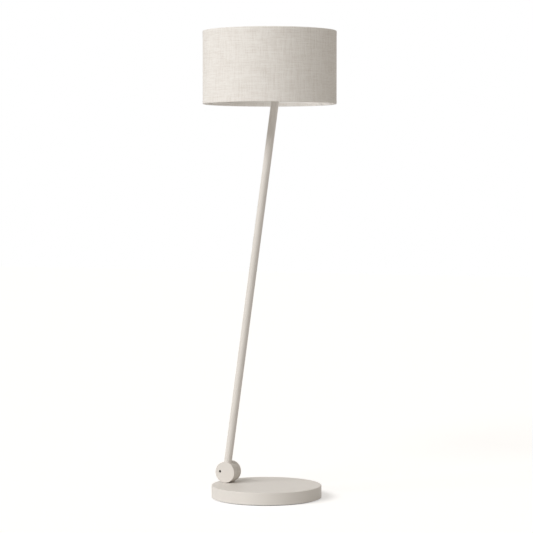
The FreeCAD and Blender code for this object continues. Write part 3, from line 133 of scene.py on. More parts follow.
class LampSizes(bpy.types.PropertyGroup):
    """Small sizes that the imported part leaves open."""
    cover_edge: length("Base edge", "Rounding of the base's top edge", 0.0024, 0.0005, 0.01)
    disc_edge: length("Disc edge", "Rounding of the hinge discs", 0.0013, 0.0003, 0.005)
    disc_web: length("Disc web", "Web of the rear disc round the axle", 0.0065, 0.003, 0.015)
    disc_cavity: length("Disc cavity", "Cavity in the back of the rear disc", 0.04, 0.02, 0.06)
    bush_bore: length("Bush bore", "Radius of the bush's seat", 0.0086, 0.007, 0.012)
    spigot_seat: length("Spigot seat", "Seat in the front disc's rim", 0.005, 0.001, 0.012)
    foot_width: length("Foot width", "Foot that carries the rear disc", 0.026, 0.01, 0.05)
    foot_bevel: length("Foot bevel", "Rounding of the foot's upright edges", 0.0015, 0, 0.004)
    foot_inset: length("Foot inset", "Foot behind the disc's faces", 0.002, 0, 0.008)
    lock_bevel: length("Lock bevel", "Countersink round the lock screw", 0.0006, 0.0001, 0.002)
    lock_socket: length("Lock socket", "Hexagon socket, across flats", 0.004, 0.002, 0.006)
    tube_wall: length("Tube wall", "Wall of the pole", 0.0015, 0.0008, 0.004)
    swivel_disc: length("Swivel disc", "Thickness of a swivel disc", 0.012, 0.005, 0.02)
    foot_hole: length("Foot hole", "Radius of the foot screws' holes", 0.0032, 0.003, 0.005)
    pad_hole: length("Pad hole", "Radius of the holes in the felt", 0.006, 0.004, 0.01)
    pin_play: length("Pin play", "Air round the stop pin in its slot", 0.0003, 0.0001, 0.001)
    bolt_bore: length("Bolt bore", "Radius of the swivel's bore", 0.00605, 0.004, 0.01)
    nipple_bore: length("Nipple bore", "Radius of the nipple's bore", 0.00505, 0.004, 0.008)
    snug: length("Snug fit", "Air round a seated piece", 0.00005, 0.00001, 0.0002)
    lead_radius: length("Lead radius", "Half the lead's thickness", 0.002, 0.001, 0.004)
    lead_bore: length("Lead bore", "Bores that the lead runs through", 0.007, 0.004, 0.01)
    rim_curl: length("Rim curl", "Rounding of the cloth over the rims", 0.0024, 0.001, 0.004)
    cloth: length("Cloth", "Thickness of the cloth", 0.0006, 0.0003, 0.002)
    film: length("Film", "Thickness of the liner", 0.0008, 0.0003, 0.002)
    fold: length("Fold", "Thickness of the turned-in cloth", 0.0005, 0.0003, 0.002)
    fold_room: length("Fold room", "From the liner to the fold's face", 0.0047, 0.003, 0.01)
    hem_width: length("Hem width", "Band of doubled cloth at each rim", 0.0125, 0.004, 0.03)
    hem_step: length("Hem step", "Height of the doubled band", 0.0003, 0.0, 0.001)
    thread_pitch: length("Thread pitch", "Distance between linen threads", 0.00085, 0.0003, 0.003)
    cap_thread: length("Cap thread", "Pitch of the bulb's thread", 0.0036, 0.002, 0.005)
    fine_thread: length("Fine thread", "Pitch of the small threads", 0.00125, 0.0005, 0.003)
    round_steps: IntProperty(name="Round steps", description="Steps of a large turned piece",
                             default=192, min=32, max=512)
    small_steps: IntProperty(name="Small steps", description="Steps of a small turned piece",
                             default=72, min=16, max=256)


class LampColours(bpy.types.PropertyGroup):
    """Colours of the finishes."""
    powder: colour("Powder coat", "Satin paint on the metal", (0.73, 0.70, 0.665))
    linen: colour("Linen", "Light threads of the cloth", (0.90, 0.88, 0.85))
    linen_dark: colour("Linen slubs", "Dark threads of the cloth", (0.72, 0.675, 0.63))
    liner: colour("Liner", "Stiff film inside the shade", (0.90, 0.885, 0.865))


class StageSettings(bpy.types.PropertyGroup):
    """Camera and light."""
    camera_turn: angle("Camera turn", "Camera's angle round the lamp", 25.4)
    camera_distance: length("Camera distance", "Camera to the base's centre", 6.558, 1, 20)
    camera_height: length("Camera height", "Camera above the floor", 1.018, 0, 5)
    camera_pitch: angle("Camera pitch", "Camera's downward tilt", 2.37)
    focal_length: amount("Focal length", "Lens in millimetres", 137.9)
    key_strength: amount("Key light", "Soft light from the front left", 1.0)
    key_aside: angle("Key aside", "Key light left of the camera", 35)
    side_strength: amount("Side light", "Soft light from the left", 1.22)
    side_aside: angle("Side aside", "Side light left of the camera", 65)
    light_height: angle("Light height", "Lights above the horizon", 36)
    light_softness: angle("Softness", "Width of a light in the sky", 22)
    sky_strength: amount("Room light", "Even light from all round", 0.375)
    sky_colour: FloatVectorProperty(name="Room colour", description="Colour of the room light",
                                    default=(1.08, 1.0, 0.89), subtype="COLOR", min=0, max=2)
    sweep_angle: angle("Sweep angle", "Half the width of the white sweep", 40)
    floor_size: length("Floor size", "Half the floor's width", 15.0, 5, 50)
    floor_tone: colour("Floor tone", "Colour of the floor", (0.72, 0.72, 0.72))
    floor_lift: amount("Floor lift", "Makes the floor white to the eye", 0.45)


# ---------------------------------------------------------------- node helpers

def add(tree, kind, inputs=None, **properties):
    """New node in a tree; inputs may be numbers or the sockets that feed them."""
    made = tree.nodes.new(kind)
    for name, value in properties.items():
        setattr(made, name, value)
    for name, value in (inputs or {}).items():
        feed(tree, made.inputs[name], value)
    return made


def feed(tree, socket, value):
    """Link a socket, or set its own value."""
    if isinstance(value, bpy.types.NodeSocket):
        tree.links.new(value, socket)
    else:
        socket.default_value = value


def maths(tree, operation, first, second=0.0):
    """Result socket of a Math node."""
    return add(tree, "ShaderNodeMath", {0: first, 1: second}, operation=operation).outputs[0]


def ranged(tree, value, low, high, to_low, to_high):
    """Value mapped from one range to another, held inside it."""
    return add(tree, "ShaderNodeMapRange", {"Value": value, "From Min": low, "From Max": high,
                                            "To Min": to_low, "To Max": to_high}).outputs[0]


def noise(tree, vector, scale, detail=2.0, roughness=0.5):
    return add(tree, "ShaderNodeTexNoise", {"Vector": vector, "Scale": scale, "Detail": detail,
                                            "Roughness": roughness}).outputs["Fac"]


def scaled(tree, vector, factors):
    return add(tree, "ShaderNodeVectorMath", {0: vector, 1: factors},
               operation="MULTIPLY").outputs[0]


def mixed(tree, share, first, second):
    """Colour between two colours."""
    made = add(tree, "ShaderNodeMix", {0: share, 6: first, 7: second}, data_type="RGBA")
    return made.outputs[2]


def tinted(tree, tone, value):
    """Colour multiplied by a grey value."""
    made = add(tree, "ShaderNodeMix", {0: 1.0, 6: tone, 7: value}, data_type="RGBA",
               blend_type="MULTIPLY")
    return made.outputs[2]


def effect(name, inputs, outputs):
    """Empty shader node group with named sockets; returns it with its two end nodes."""
    group = bpy.data.node_groups.new(name, "ShaderNodeTree")
    for label, kind, default in inputs:
        socket = group.interface.new_socket(name=label, in_out="INPUT", socket_type=kind)
        if default is not None:
            socket.default_value = default
    for label in outputs:
        group.interface.new_socket(name=label, in_out="OUTPUT", socket_type="NodeSocketFloat")
    return group, add(group, "NodeGroupInput"), add(group, "NodeGroupOutput")


def use(tree, name, vector, **values):
    """Place a shared effect in a material."""
    made = add(tree, "ShaderNodeGroup", {"Vector": vector}, node_tree=bpy.data.node_groups[name])
    for label, value in values.items():
        feed(tree, made.inputs[label.replace("_", " ").capitalize()], value)
    return made


# ---------------------------------------------------------------- shared effects

VECTOR = ("Vector", "NodeSocketVector", None)


def scalar(label, default):
    return (label, "NodeSocketFloat", default)


def effect_grain():
    """Fine grain with soft clouds: a tone near 1 and a height."""
    group, start, end = effect("fine_grain", [
        VECTOR, scalar("Grain scale", 900.0), scalar("Cloud scale", 14.0),
        scalar("Tone spread", 0.04)], ["Tone", "Height"])
    grain = noise(group, start.outputs["Vector"], start.outputs["Grain scale"], 3.0, 0.6)
    cloud = noise(group, start.outputs["Vector"], start.outputs["Cloud scale"], 2.0, 0.5)
    both = maths(group, "ADD", maths(group, "MULTIPLY", grain, 0.45),
                 maths(group, "MULTIPLY", cloud, 0.55))
    swing = maths(group, "MULTIPLY", maths(group, "SUBTRACT", both, 0.5),
                  start.outputs["Tone spread"])
    group.links.new(maths(group, "ADD", maths(group, "MULTIPLY", swing, 2.0), 1.0),
                    end.inputs["Tone"])
    group.links.new(grain, end.inputs["Height"])


def effect_dust():
    """Dust that has settled on faces that look up."""
    group, start, end = effect("settled_dust", [VECTOR, scalar("Amount", 0.3)], ["Mask"])
    facing = add(group, "ShaderNodeSeparateXYZ",
                 {0: add(group, "ShaderNodeNewGeometry").outputs["Normal"]}).outputs["Z"]
    patches = ranged(group, noise(group, start.outputs["Vector"], 60.0, 4.0, 0.65),
                     0.42, 0.75, 0.0, 1.0)
    upward = ranged(group, facing, 0.6, 1.0, 0.0, 1.0)
    group.links.new(maths(group, "MULTIPLY", maths(group, "MULTIPLY", patches, upward),
                          start.outputs["Amount"]), end.inputs["Mask"])


def effect_weave():
    """Plain weave of uneven threads: tone about 0, height and the gaps between threads."""
    group, start, end = effect("woven_threads", [VECTOR, scalar("Pitch", 0.00085)],
                               ["Tone", "Height", "Gaps"])
    across = maths(group, "DIVIDE", 1.0, start.outputs["Pitch"])
    parts = add(group, "ShaderNodeSeparateXYZ", {0: start.outputs["Vector"]})
    wander = noise(group, scaled(group, start.outputs["Vector"], (55.0, 55.0, 55.0)), 1.0, 1.0)
    drift = maths(group, "MULTIPLY", maths(group, "SUBTRACT", wander, 0.5), 0.0011)
    along = maths(group, "MULTIPLY", maths(group, "ADD", parts.outputs["X"], drift), across)
    up = maths(group, "MULTIPLY", maths(group, "ADD", parts.outputs["Y"], drift), across)
    tones = []
    heights = []
    for mine, other, stretch in ((along, up, 0.055), (up, along, 0.03)):
        thread = maths(group, "FLOOR", mine)
        place = add(group, "ShaderNodeCombineXYZ", {
            "X": maths(group, "MULTIPLY", thread, 7.31),
            "Y": maths(group, "MULTIPLY", other, stretch)}).outputs[0]
        slub = noise(group, place, 1.0, 2.0, 0.55)
        thick = add(group, "ShaderNodeTexWhiteNoise", {"W": thread},
                    noise_dimensions="1D").outputs["Value"]
        tone = maths(group, "ADD", maths(group, "MULTIPLY", thick, 0.45),
                     maths(group, "MULTIPLY", slub, 0.9))
        tones.append(maths(group, "SUBTRACT", tone, 0.675))
        wave = maths(group, "ABSOLUTE", maths(group, "SINE", maths(group, "MULTIPLY", mine,
                                                                  math.pi)))
        heights.append(maths(group, "MULTIPLY", maths(group, "POWER", wave, 0.6),
                             maths(group, "ADD", maths(group, "MULTIPLY", tone, 0.8), 0.5)))
    check = maths(group, "MODULO", maths(group, "ADD", maths(group, "FLOOR", along),
                                         maths(group, "FLOOR", up)), 2.0)
    over = maths(group, "ABSOLUTE", check)
    tone = add(group, "ShaderNodeMix", {0: over, 2: tones[0], 3: tones[1]}).outputs[0]
    height = add(group, "ShaderNodeMix", {0: over, 2: heights[0], 3: heights[1]}).outputs[0]
    group.links.new(tone, end.inputs["Tone"])
    group.links.new(height, end.inputs["Height"])
    least = maths(group, "MINIMUM", heights[0], heights[1])
    group.links.new(ranged(group, least, 0.0, 0.35, 1.0, 0.0), end.inputs["Gaps"])


def effect_slubs():
    """Long uneven streaks along both threads, a few threads wide: tone about 0."""
    group, start, end = effect("slub_streaks", [
        VECTOR, scalar("Length", 0.05), scalar("Width", 0.003)], ["Tone"])
    parts = add(group, "ShaderNodeSeparateXYZ", {0: start.outputs["Vector"]})
    streaks = []
    for run, side, apart in (("X", "Y", 3.7), ("Y", "X", 11.3)):
        place = add(group, "ShaderNodeCombineXYZ", {
            "X": maths(group, "DIVIDE", parts.outputs[run], start.outputs["Length"]),
            "Y": maths(group, "DIVIDE", parts.outputs[side], start.outputs["Width"]),
            "Z": apart}).outputs[0]
        streaks.append(maths(group, "SUBTRACT", noise(group, place, 1.0, 2.0, 0.6), 0.5))
    group.links.new(maths(group, "ADD", *streaks), end.inputs["Tone"])


# ---------------------------------------------------------------- finishes

FINISHES = {}


def blank_finish(name):
    """Material with a bare Principled shader; returns its tree, shader and Object coordinates."""
    material = bpy.data.materials.new(name + "_finish")
    FINISHES[name] = material
    material.use_nodes = True
    tree = material.node_tree
    tree.nodes.clear()
    shader = add(tree, "ShaderNodeBsdfPrincipled")
    add(tree, "ShaderNodeOutputMaterial", {"Surface": shader.outputs[0]})
    where = add(tree, "ShaderNodeTexCoord").outputs["Object"]
    return tree, shader, where


def bumped(tree, shader, height, distance, strength=1.0):
    """Feed a height into the shader's normal."""
    bump = add(tree, "ShaderNodeBump", {"Height": height, "Distance": distance,
                                        "Strength": strength})
    tree.links.new(bump.outputs[0], shader.inputs["Normal"])


def powder_coat(name):
    """Satin powder coat: fine even grain, faint clouding, a trace of dust on top."""
    tree, shader, where = blank_finish(name)
    paint = (*bpy.context.scene.lamp_colours.powder, 1)
    grain = use(tree, "fine_grain", where, Grain_scale=1500.0, Cloud_scale=9.0, Tone_spread=0.035)
    dust = use(tree, "settled_dust", where, Amount=0.10).outputs["Mask"]
    tone = tinted(tree, paint, grain.outputs["Tone"])
    feed(tree, shader.inputs["Base Color"], mixed(tree, dust, tone, (0.80, 0.78, 0.75, 1)))
    rough = ranged(tree, grain.outputs["Height"], 0.3, 0.7, 0.42, 0.54)
    feed(tree, shader.inputs["Roughness"],
         maths(tree, "ADD", rough, maths(tree, "MULTIPLY", dust, 0.8)))
    bumped(tree, shader, grain.outputs["Height"], 0.00006, 0.5)


def moulded(name, tone, roughness, grain_scale=700.0, gloss=0.5, spread=0.03):
    """Moulded plastic or rubber: fine texture and slight clouding."""
    tree, shader, where = blank_finish(name)
    grain = use(tree, "fine_grain", where, Grain_scale=grain_scale, Cloud_scale=22.0,
                Tone_spread=spread)
    feed(tree, shader.inputs["Base Color"], tinted(tree, tone, grain.outputs["Tone"]))
    feed(tree, shader.inputs["Roughness"],
         ranged(tree, grain.outputs["Height"], 0.3, 0.7, roughness - 0.06, roughness + 0.06))
    shader.inputs["Specular IOR Level"].default_value = gloss
    bumped(tree, shader, grain.outputs["Height"], 0.00004, 0.4)


def metal(name, plating, roughness, lines=(40.0, 900.0, 40.0), metallic=1.0):
    """Plated or bare metal with drawn lines and faint stains."""
    tree, shader, where = blank_finish(name)
    streaks = noise(tree, scaled(tree, where, lines), 1.0, 3.0, 0.6)
    stain = noise(tree, where, 60.0, 3.0, 0.6)
    tone = maths(tree, "ADD", maths(tree, "MULTIPLY", streaks, 0.14),
                 maths(tree, "MULTIPLY", stain, 0.16))
    feed(tree, shader.inputs["Base Color"],
         tinted(tree, plating, maths(tree, "ADD", tone, 0.85)))
    feed(tree, shader.inputs["Roughness"],
         maths(tree, "ADD", maths(tree, "MULTIPLY", streaks, 0.18), roughness - 0.09))
    shader.inputs["Metallic"].default_value = metallic
    bumped(tree, shader, streaks, 0.00002, 0.5)


def iron(name):
    """Raw cast iron: sandy skin."""
    tree, shader, where = blank_finish(name)
    sand = noise(tree, where, 420.0, 5.0, 0.7)
    feed(tree, shader.inputs["Base Color"],
         mixed(tree, sand, (0.09, 0.088, 0.085, 1), (0.23, 0.225, 0.22, 1)))
    shader.inputs["Metallic"].default_value = 0.4
    feed(tree, shader.inputs["Roughness"], ranged(tree, sand, 0.3, 0.7, 0.6, 0.85))
    bumped(tree, shader, sand, 0.0004, 0.7)


def felt(name):
    """Dense felt: short crossing fibres."""
    tree, shader, where = blank_finish(name)
    layers = [noise(tree, scaled(tree, where, run), 1.0, 3.0, 0.7)
              for run in ((300.0, 1900.0, 900.0), (1900.0, 300.0, 900.0))]
    fibres = maths(tree, "MAXIMUM", *layers)
    feed(tree, shader.inputs["Base Color"],
         mixed(tree, fibres, (0.035, 0.034, 0.033, 1), (0.16, 0.155, 0.15, 1)))
    shader.inputs["Roughness"].default_value = 0.95
    shader.inputs["Sheen Weight"].default_value = 0.25
    bumped(tree, shader, fibres, 0.0004, 0.8)


def linen(name):
    """Slubby plain weave, on the piece's own map in metres."""
    tree, shader, _ = blank_finish(name)
    scene = bpy.context.scene
    where = add(tree, "ShaderNodeUVMap", uv_map="cloth").outputs[0]
    threads = use(tree, "woven_threads", where, Pitch=scene.lamp_sizes.thread_pitch)
    long_slubs = use(tree, "slub_streaks", where, Length=0.045, Width=0.0032)
    short_slubs = use(tree, "slub_streaks", where, Length=0.016, Width=0.0016)
    share = ranged(tree, noise(tree, where, 14.0, 3.0, 0.6), 0.3, 0.7, 0.20, 0.34)
    for tone, weight in ((threads.outputs["Tone"], -0.9), (threads.outputs["Gaps"], 0.3),
                         (long_slubs.outputs["Tone"], 1.1), (short_slubs.outputs["Tone"], 0.8)):
        share = maths(tree, "ADD", maths(tree, "MULTIPLY", tone, weight), share)
    share = ranged(tree, share, 0.0, 1.0, 0.0, 1.0)
    tree.links.new(mixed(tree, share, (*scene.lamp_colours.linen, 1),
                         (*scene.lamp_colours.linen_dark, 1)), shader.inputs["Base Color"])
    shader.inputs["Roughness"].default_value = 0.9
    shader.inputs["Specular IOR Level"].default_value = 0.2
    shader.inputs["Sheen Weight"].default_value = 0.12
    shader.inputs["Sheen Roughness"].default_value = 0.5
    bumped(tree, shader, threads.outputs["Height"], 0.00035, 0.55)


def opal(name):
    """Opal plastic: soft gloss over a milky body."""
    tree, shader, where = blank_finish(name)
    grain = use(tree, "fine_grain", where, Grain_scale=300.0, Cloud_scale=30.0, Tone_spread=0.01)
    tree.links.new(tinted(tree, (0.86, 0.85, 0.83, 1), grain.outputs["Tone"]),
                   shader.inputs["Base Color"])
    shader.inputs["Roughness"].default_value = 0.28
    shader.inputs["Subsurface Weight"].default_value = 0.3
    shader.inputs["Subsurface Scale"].default_value = 0.01


def build_finishes():
    """One material for each material slot of the record."""
    colours = bpy.context.scene.lamp_colours
    powder_coat("powder_coat_steel")
    powder_coat("powder_coat_alloy")
    iron("grey_iron")
    metal("zinc_steel", (0.60, 0.60, 0.61, 1), 0.42)
    metal("black_steel", (0.055, 0.054, 0.053, 1), 0.5, metallic=0.6)
    felt("felt")
    moulded("rubber_bush", (0.50, 0.48, 0.45, 1), 0.75, 500.0, 0.35)
    moulded("white_plastic", (0.80, 0.79, 0.76, 1), 0.42)
    moulded("black_plastic", (0.03, 0.03, 0.03, 1), 0.5)
    moulded("nylon", (0.74, 0.73, 0.68, 1), 0.5)
    metal("brass_part", (0.70, 0.52, 0.26, 1), 0.35)
    metal("nickel_part", (0.68, 0.66, 0.63, 1), 0.24)
    linen("linen")
    moulded("white_liner", (*colours.liner, 1), 0.6, 260.0, 0.4, 0.05)
    moulded("white_wire", (0.82, 0.81, 0.79, 1), 0.4)
    opal("opal")
    moulded("lead_sheath", (0.80, 0.79, 0.77, 1), 0.5)


# ---------------------------------------------------------------- modelling helpers

def placed(shape, place):
    shape.transform(place)
    return shape


def turned_about_z(shape, steps):
    """Spin the edges of a shape once round Z into a closed surface."""
    bmesh.ops.spin(shape, geom=shape.verts[:] + shape.edges[:], cent=(0, 0, 0), axis=(0, 0, 1),
                   angle=math.tau, steps=steps, use_merge=True)
    bmesh.ops.remove_doubles(shape, verts=shape.verts[:], dist=1e-7)
    bmesh.ops.recalc_face_normals(shape, faces=shape.faces[:])
    return shape


def lathe(corners, steps, ring=False, flats=6):
    """Closed shape turned about Z from corners (radius, height, rounding)."""
    shape = bmesh.new()
    line = [shape.verts.new((radius, 0, height)) for radius, height, _ in corners]
    for pair in zip(line, line[1:]):
        shape.edges.new(pair)
    if ring:
        shape.edges.new((line[-1], line[0]))
    for size in sorted({rounding for _, _, rounding in corners if rounding}):
        chosen = [vertex for vertex, corner in zip(line, corners) if corner[2] == size]
        bmesh.ops.bevel(shape, geom=chosen, offset=size, offset_type="OFFSET", segments=flats,
                        profile=0.5, affect="VERTICES", material=-1)
    return turned_about_z(shape, steps)


def hoop(radius, height, wire, steps, sides=16):
    """Ring of round wire about Z."""
    shape = bmesh.new()
    bmesh.ops.create_circle(shape, segments=sides, radius=wire / 2,
                            matrix=shift(radius, 0, height) @ turned(90, "X"))
    return turned_about_z(shape, steps)


def prism(sides, radius, low, high):
    """Upright prism, or a round bar where the sides are many."""
    shape = bmesh.new()
    bmesh.ops.create_cone(shape, cap_ends=True, segments=sides, radius1=radius, radius2=radius,
                          depth=high - low, matrix=shift(z=(low + high) / 2))
    return shape


def block(width, depth, tall, edge=0.0, all_round=False):
    """Block about its middle with rounded upright edges, or with every edge rounded."""
    shape = bmesh.new()
    bmesh.ops.create_cube(shape, size=1.0, matrix=Matrix.Diagonal((width, depth, tall, 1)))
    rounded = [item for item in shape.edges
               if all_round or abs(item.verts[0].co.z - item.verts[1].co.z) > tall / 2]
    if edge:
        bmesh.ops.bevel(shape, geom=rounded, offset=edge, offset_type="OFFSET", segments=4,
                        profile=0.5, affect="EDGES", material=-1)
    return shape


def rod(first, second, radius, sides=24):
    """Round bar from one point to another."""
    run = Vector(second) - Vector(first)
    aim = run.to_track_quat("Z", "Y").to_matrix().to_4x4()
    return placed(prism(sides, radius, 0, run.length), Matrix.Translation(first) @ aim)


def solid_object(name, shape):
    mesh = bpy.data.meshes.new(name)
    shape.to_mesh(mesh)
    shape.free()
    made = bpy.data.objects.new(name, mesh)
    bpy.context.scene.collection.objects.link(made)
    return made


def combined(operation, first, *others):
    """Boolean of closed shapes: the first with each of the others."""
    blank = solid_object("blank", first)
    tools = [solid_object("tool", shape) for shape in others]
    for tool in tools:
        step = blank.modifiers.new("step", "BOOLEAN")
        step.operation = operation
        step.solver = "EXACT"
        step.object = tool
    result = bmesh.new()
    result.from_object(blank, bpy.context.evaluated_depsgraph_get())
    for used in (blank, *tools):
        mesh = used.data
        bpy.data.objects.remove(used)
        bpy.data.meshes.remove(mesh)
    if not result.faces:
        raise RuntimeError("a boolean left nothing")
    return result


def joined(first, *others):
    return combined("UNION", first, *others)


def cut(first, *others):
    return combined("DIFFERENCE", first, *others)


def column(radius, low, high, spacing):
    """Corners up the side of a turned piece, close enough to carry a thread."""
    count = max(1, round((high - low) / spacing))
    return [(radius, low + (high - low) * index / count, 0) for index in range(count + 1)]


def pressed(shape, radius, low, high, depth_at):
    """Press the side of a turned shape inwards by a depth found from angle and height."""
    for vertex in shape.verts:
        out = math.hypot(vertex.co.x, vertex.co.y)
        if abs(out - radius) < 1e-6 and low - 1e-6 <= vertex.co.z <= high + 1e-6:
            share = depth_at(math.atan2(vertex.co.y, vertex.co.x), vertex.co.z) / out
            vertex.co.x *= 1 - share
            vertex.co.y *= 1 - share
    return shape


def threaded(shape, radius, low, high, pitch, depth):
    """Helical thread in the side of a turned shape, fading out at both ends."""
    def depth_at(angle, height):
        fade = max(0.0, min(1.0, (height - low) / pitch, (high - height) / pitch))
        phase = height / pitch - angle / math.tau
        return depth * fade * (0.5 + 0.5 * math.cos(math.tau * phase))
    return pressed(shape, radius, low, high, depth_at)


def fluted(shape, radius, low, high, ribs, depth):
    """Upright grip ribs in the rim of a turned shape."""
    return pressed(shape, radius, low, high,
                   lambda angle, _: depth * (0.5 + 0.5 * math.cos(ribs * angle)))


def nut(flats, bore, low, high, bevel=0.0006):
    """Hexagon nut with bevelled corners."""
    corner = flats / math.sqrt(3)
    blank = lathe([(0, low, 0), (corner - 2 * bevel, low, 0), (corner, low + bevel, 0),
                   (corner, high - bevel, 0), (corner - 2 * bevel, high, 0), (0, high, 0)], 48)
    body = combined("INTERSECT", prism(6, corner, low - 0.001, high + 0.001), blank)
    return cut(body, prism(48, bore, low - 0.001, high + 0.001))


def grub_screw(radius, low, high, pitch, socket):
    """Threaded screw with bevelled ends and a hexagon socket in its lower end."""
    bevel = pitch / 2
    body = lathe([(0, low, 0), (radius - bevel, low, 0),
                  *column(radius, low + bevel, high - bevel, pitch / 6),
                  (radius - bevel, high, 0), (0, high, 0)], 48)
    threaded(body, radius, low + bevel, high - bevel, pitch, pitch / 2)
    return cut(body, prism(6, socket / math.sqrt(3), low - 0.001, low + socket * 1.25))


def piece(name, shape, body, slot, *nodes):
    """Finished object from a bmesh: at the origin, smooth, riding on its body."""
    made = solid_object(name, shape)
    for polygon in made.data.polygons:
        polygon.use_smooth = True
    made.data.set_sharp_from_angle(angle=math.radians(38))
    made.data.materials.append(FINISHES[slot])
    weighted = made.modifiers.new("even_shading", "WEIGHTED_NORMAL")
    weighted.keep_sharp = True
    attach(made, body)
    if nodes:
        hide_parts(*nodes)
    return made


def map_cloth(target, place, radius):
    """Give a turned cloth piece a map in metres: round the drum and up its side."""
    mesh = target.data
    inverse = place.inverted()
    layer = mesh.uv_layers.new(name="cloth")
    for polygon in mesh.polygons:
        centre = inverse @ polygon.center
        base = math.atan2(centre.y, centre.x)
        for index in polygon.loop_indices:
            at = inverse @ mesh.vertices[mesh.loops[index].vertex_index].co
            turn = math.atan2(at.y, at.x) - base
            turn = (turn + math.pi) % math.tau - math.pi
            depth = radius - math.hypot(at.x, at.y)
            layer.data[index].uv = ((base + turn) * radius, at.z + depth)


# ---------------------------------------------------------------- stage

def seen_rays(tree):
    """1 where the eye meets a surface straight on, in a mirror or through glass."""
    ray = add(tree, "ShaderNodeLightPath")
    mirrored = maths(tree, "MAXIMUM", ray.outputs["Is Glossy Ray"],
                     ray.outputs["Is Transmission Ray"])
    return maths(tree, "MAXIMUM", ray.outputs["Is Camera Ray"], mirrored)


class LAMP_OT_stage(bpy.types.Operator):
    """Floor, room light, key light and camera"""
    bl_idname = "lamp.stage"
    bl_label = "Stage"

    def execute(self, context):
        stage = context.scene.lamp_stage
        turn = stage.camera_turn
        right = Vector((math.cos(turn), math.sin(turn), 0))
        ahead = Vector((-math.sin(turn), math.cos(turn), 0))
        self.build_room(context.scene, stage, ahead)
        self.build_floor(stage)
        self.build_light("key", stage.key_strength, stage.key_aside, stage, right, ahead)
        self.build_light("side", stage.side_strength, stage.side_aside, stage, right, ahead)
        self.build_camera(context.scene, stage, ahead)
        context.scene.view_settings.view_transform = "Standard"
        return {"FINISHED"}

    def build_room(self, scene, stage, ahead):
        """Even room light, white to the eye, with a white sweep mirrored behind the lamp."""
        world = bpy.data.worlds.new("room")
        world.use_nodes = True
        tree = world.node_tree
        tree.nodes.clear()
        ray = add(tree, "ShaderNodeLightPath")
        look = add(tree, "ShaderNodeTexCoord").outputs["Generated"]
        facing = add(tree, "ShaderNodeVectorMath", {0: look, 1: ahead},
                     operation="DOT_PRODUCT").outputs["Value"]
        sweep = ranged(tree, facing, math.cos(stage.sweep_angle * 1.2),
                       math.cos(stage.sweep_angle * 0.8), 0.0, 1.0)
        mirrored = maths(tree, "MULTIPLY", ray.outputs["Is Glossy Ray"], sweep)
        seen = maths(tree, "MAXIMUM", ray.outputs["Is Camera Ray"],
                     maths(tree, "MAXIMUM", mirrored, ray.outputs["Is Transmission Ray"]))
        strength = add(tree, "ShaderNodeMix", {0: seen, 2: stage.sky_strength, 3: 1.0}).outputs[0]
        tone = mixed(tree, seen, (*stage.sky_colour, 1), (1, 1, 1, 1))
        sky = add(tree, "ShaderNodeBackground", {"Color": tone, "Strength": strength})
        add(tree, "ShaderNodeOutputWorld", {"Surface": sky.outputs[0]})
        scene.world = world

    def build_floor(self, stage):
        """Pale floor that keeps the lamp's shadow."""
        finish = bpy.data.materials.new("pale_floor")
        finish.use_nodes = True
        tree = finish.node_tree
        tree.nodes.clear()
        matt = add(tree, "ShaderNodeBsdfDiffuse", {"Color": (*stage.floor_tone, 1)})
        glow = add(tree, "ShaderNodeEmission", {"Strength": maths(tree, "MULTIPLY",
                                                                  seen_rays(tree),
                                                                  stage.floor_lift)})
        both = add(tree, "ShaderNodeAddShader", {0: matt.outputs[0], 1: glow.outputs[0]})
        add(tree, "ShaderNodeOutputMaterial", {"Surface": both.outputs[0]})
        shape = bmesh.new()
        bmesh.ops.create_grid(shape, x_segments=1, y_segments=1, size=stage.floor_size)
        floor = solid_object("floor", shape)
        floor.data.materials.append(finish)

    def build_light(self, name, strength, aside, stage, right, ahead):
        """Soft light from the left of the camera, high above the horizon."""
        sun = bpy.data.lights.new(name, "SUN")
        sun.energy = strength
        sun.angle = stage.light_softness
        height = stage.light_height
        travel = (right * math.sin(aside) + ahead * math.cos(aside)) * math.cos(height)
        travel -= Vector((0, 0, math.sin(height)))
        light = bpy.data.objects.new(name, sun)
        light.rotation_euler = travel.to_track_quat("-Z", "Y").to_euler()
        bpy.context.scene.collection.objects.link(light)

    def build_camera(self, scene, stage, ahead):
        lens = bpy.data.cameras.new("view")
        lens.sensor_width = 36.0
        lens.lens = stage.focal_length
        lens.clip_end = 100.0
        camera = bpy.data.objects.new("view", lens)
        camera.location = -ahead * stage.camera_distance
        camera.location.z = stage.camera_height
        camera.rotation_euler = (math.pi / 2 - stage.camera_pitch, 0, stage.camera_turn)
        scene.collection.objects.link(camera)
        scene.camera = camera


class LAMP_OT_finishes(bpy.types.Operator):
    """Build every finish and give it to the CAD nodes that stay"""
    bl_idname = "lamp.finishes"
    bl_label = "Finishes"

    def execute(self, context):
        for build in (effect_grain, effect_dust, effect_weave, effect_slubs, build_finishes):
            build()
        slots = {part["node"]: part["material_slot"] for part in frame["record"]["subparts"]}
        for name, node in frame["nodes"].items():
            finish = FINISHES[slots[name]]
            if not node.material_slots:
                node.data.materials.append(finish)
            for slot in node.material_slots:
                slot.material = finish
        return {"FINISHED"}


# ---------------------------------------------------------------- base

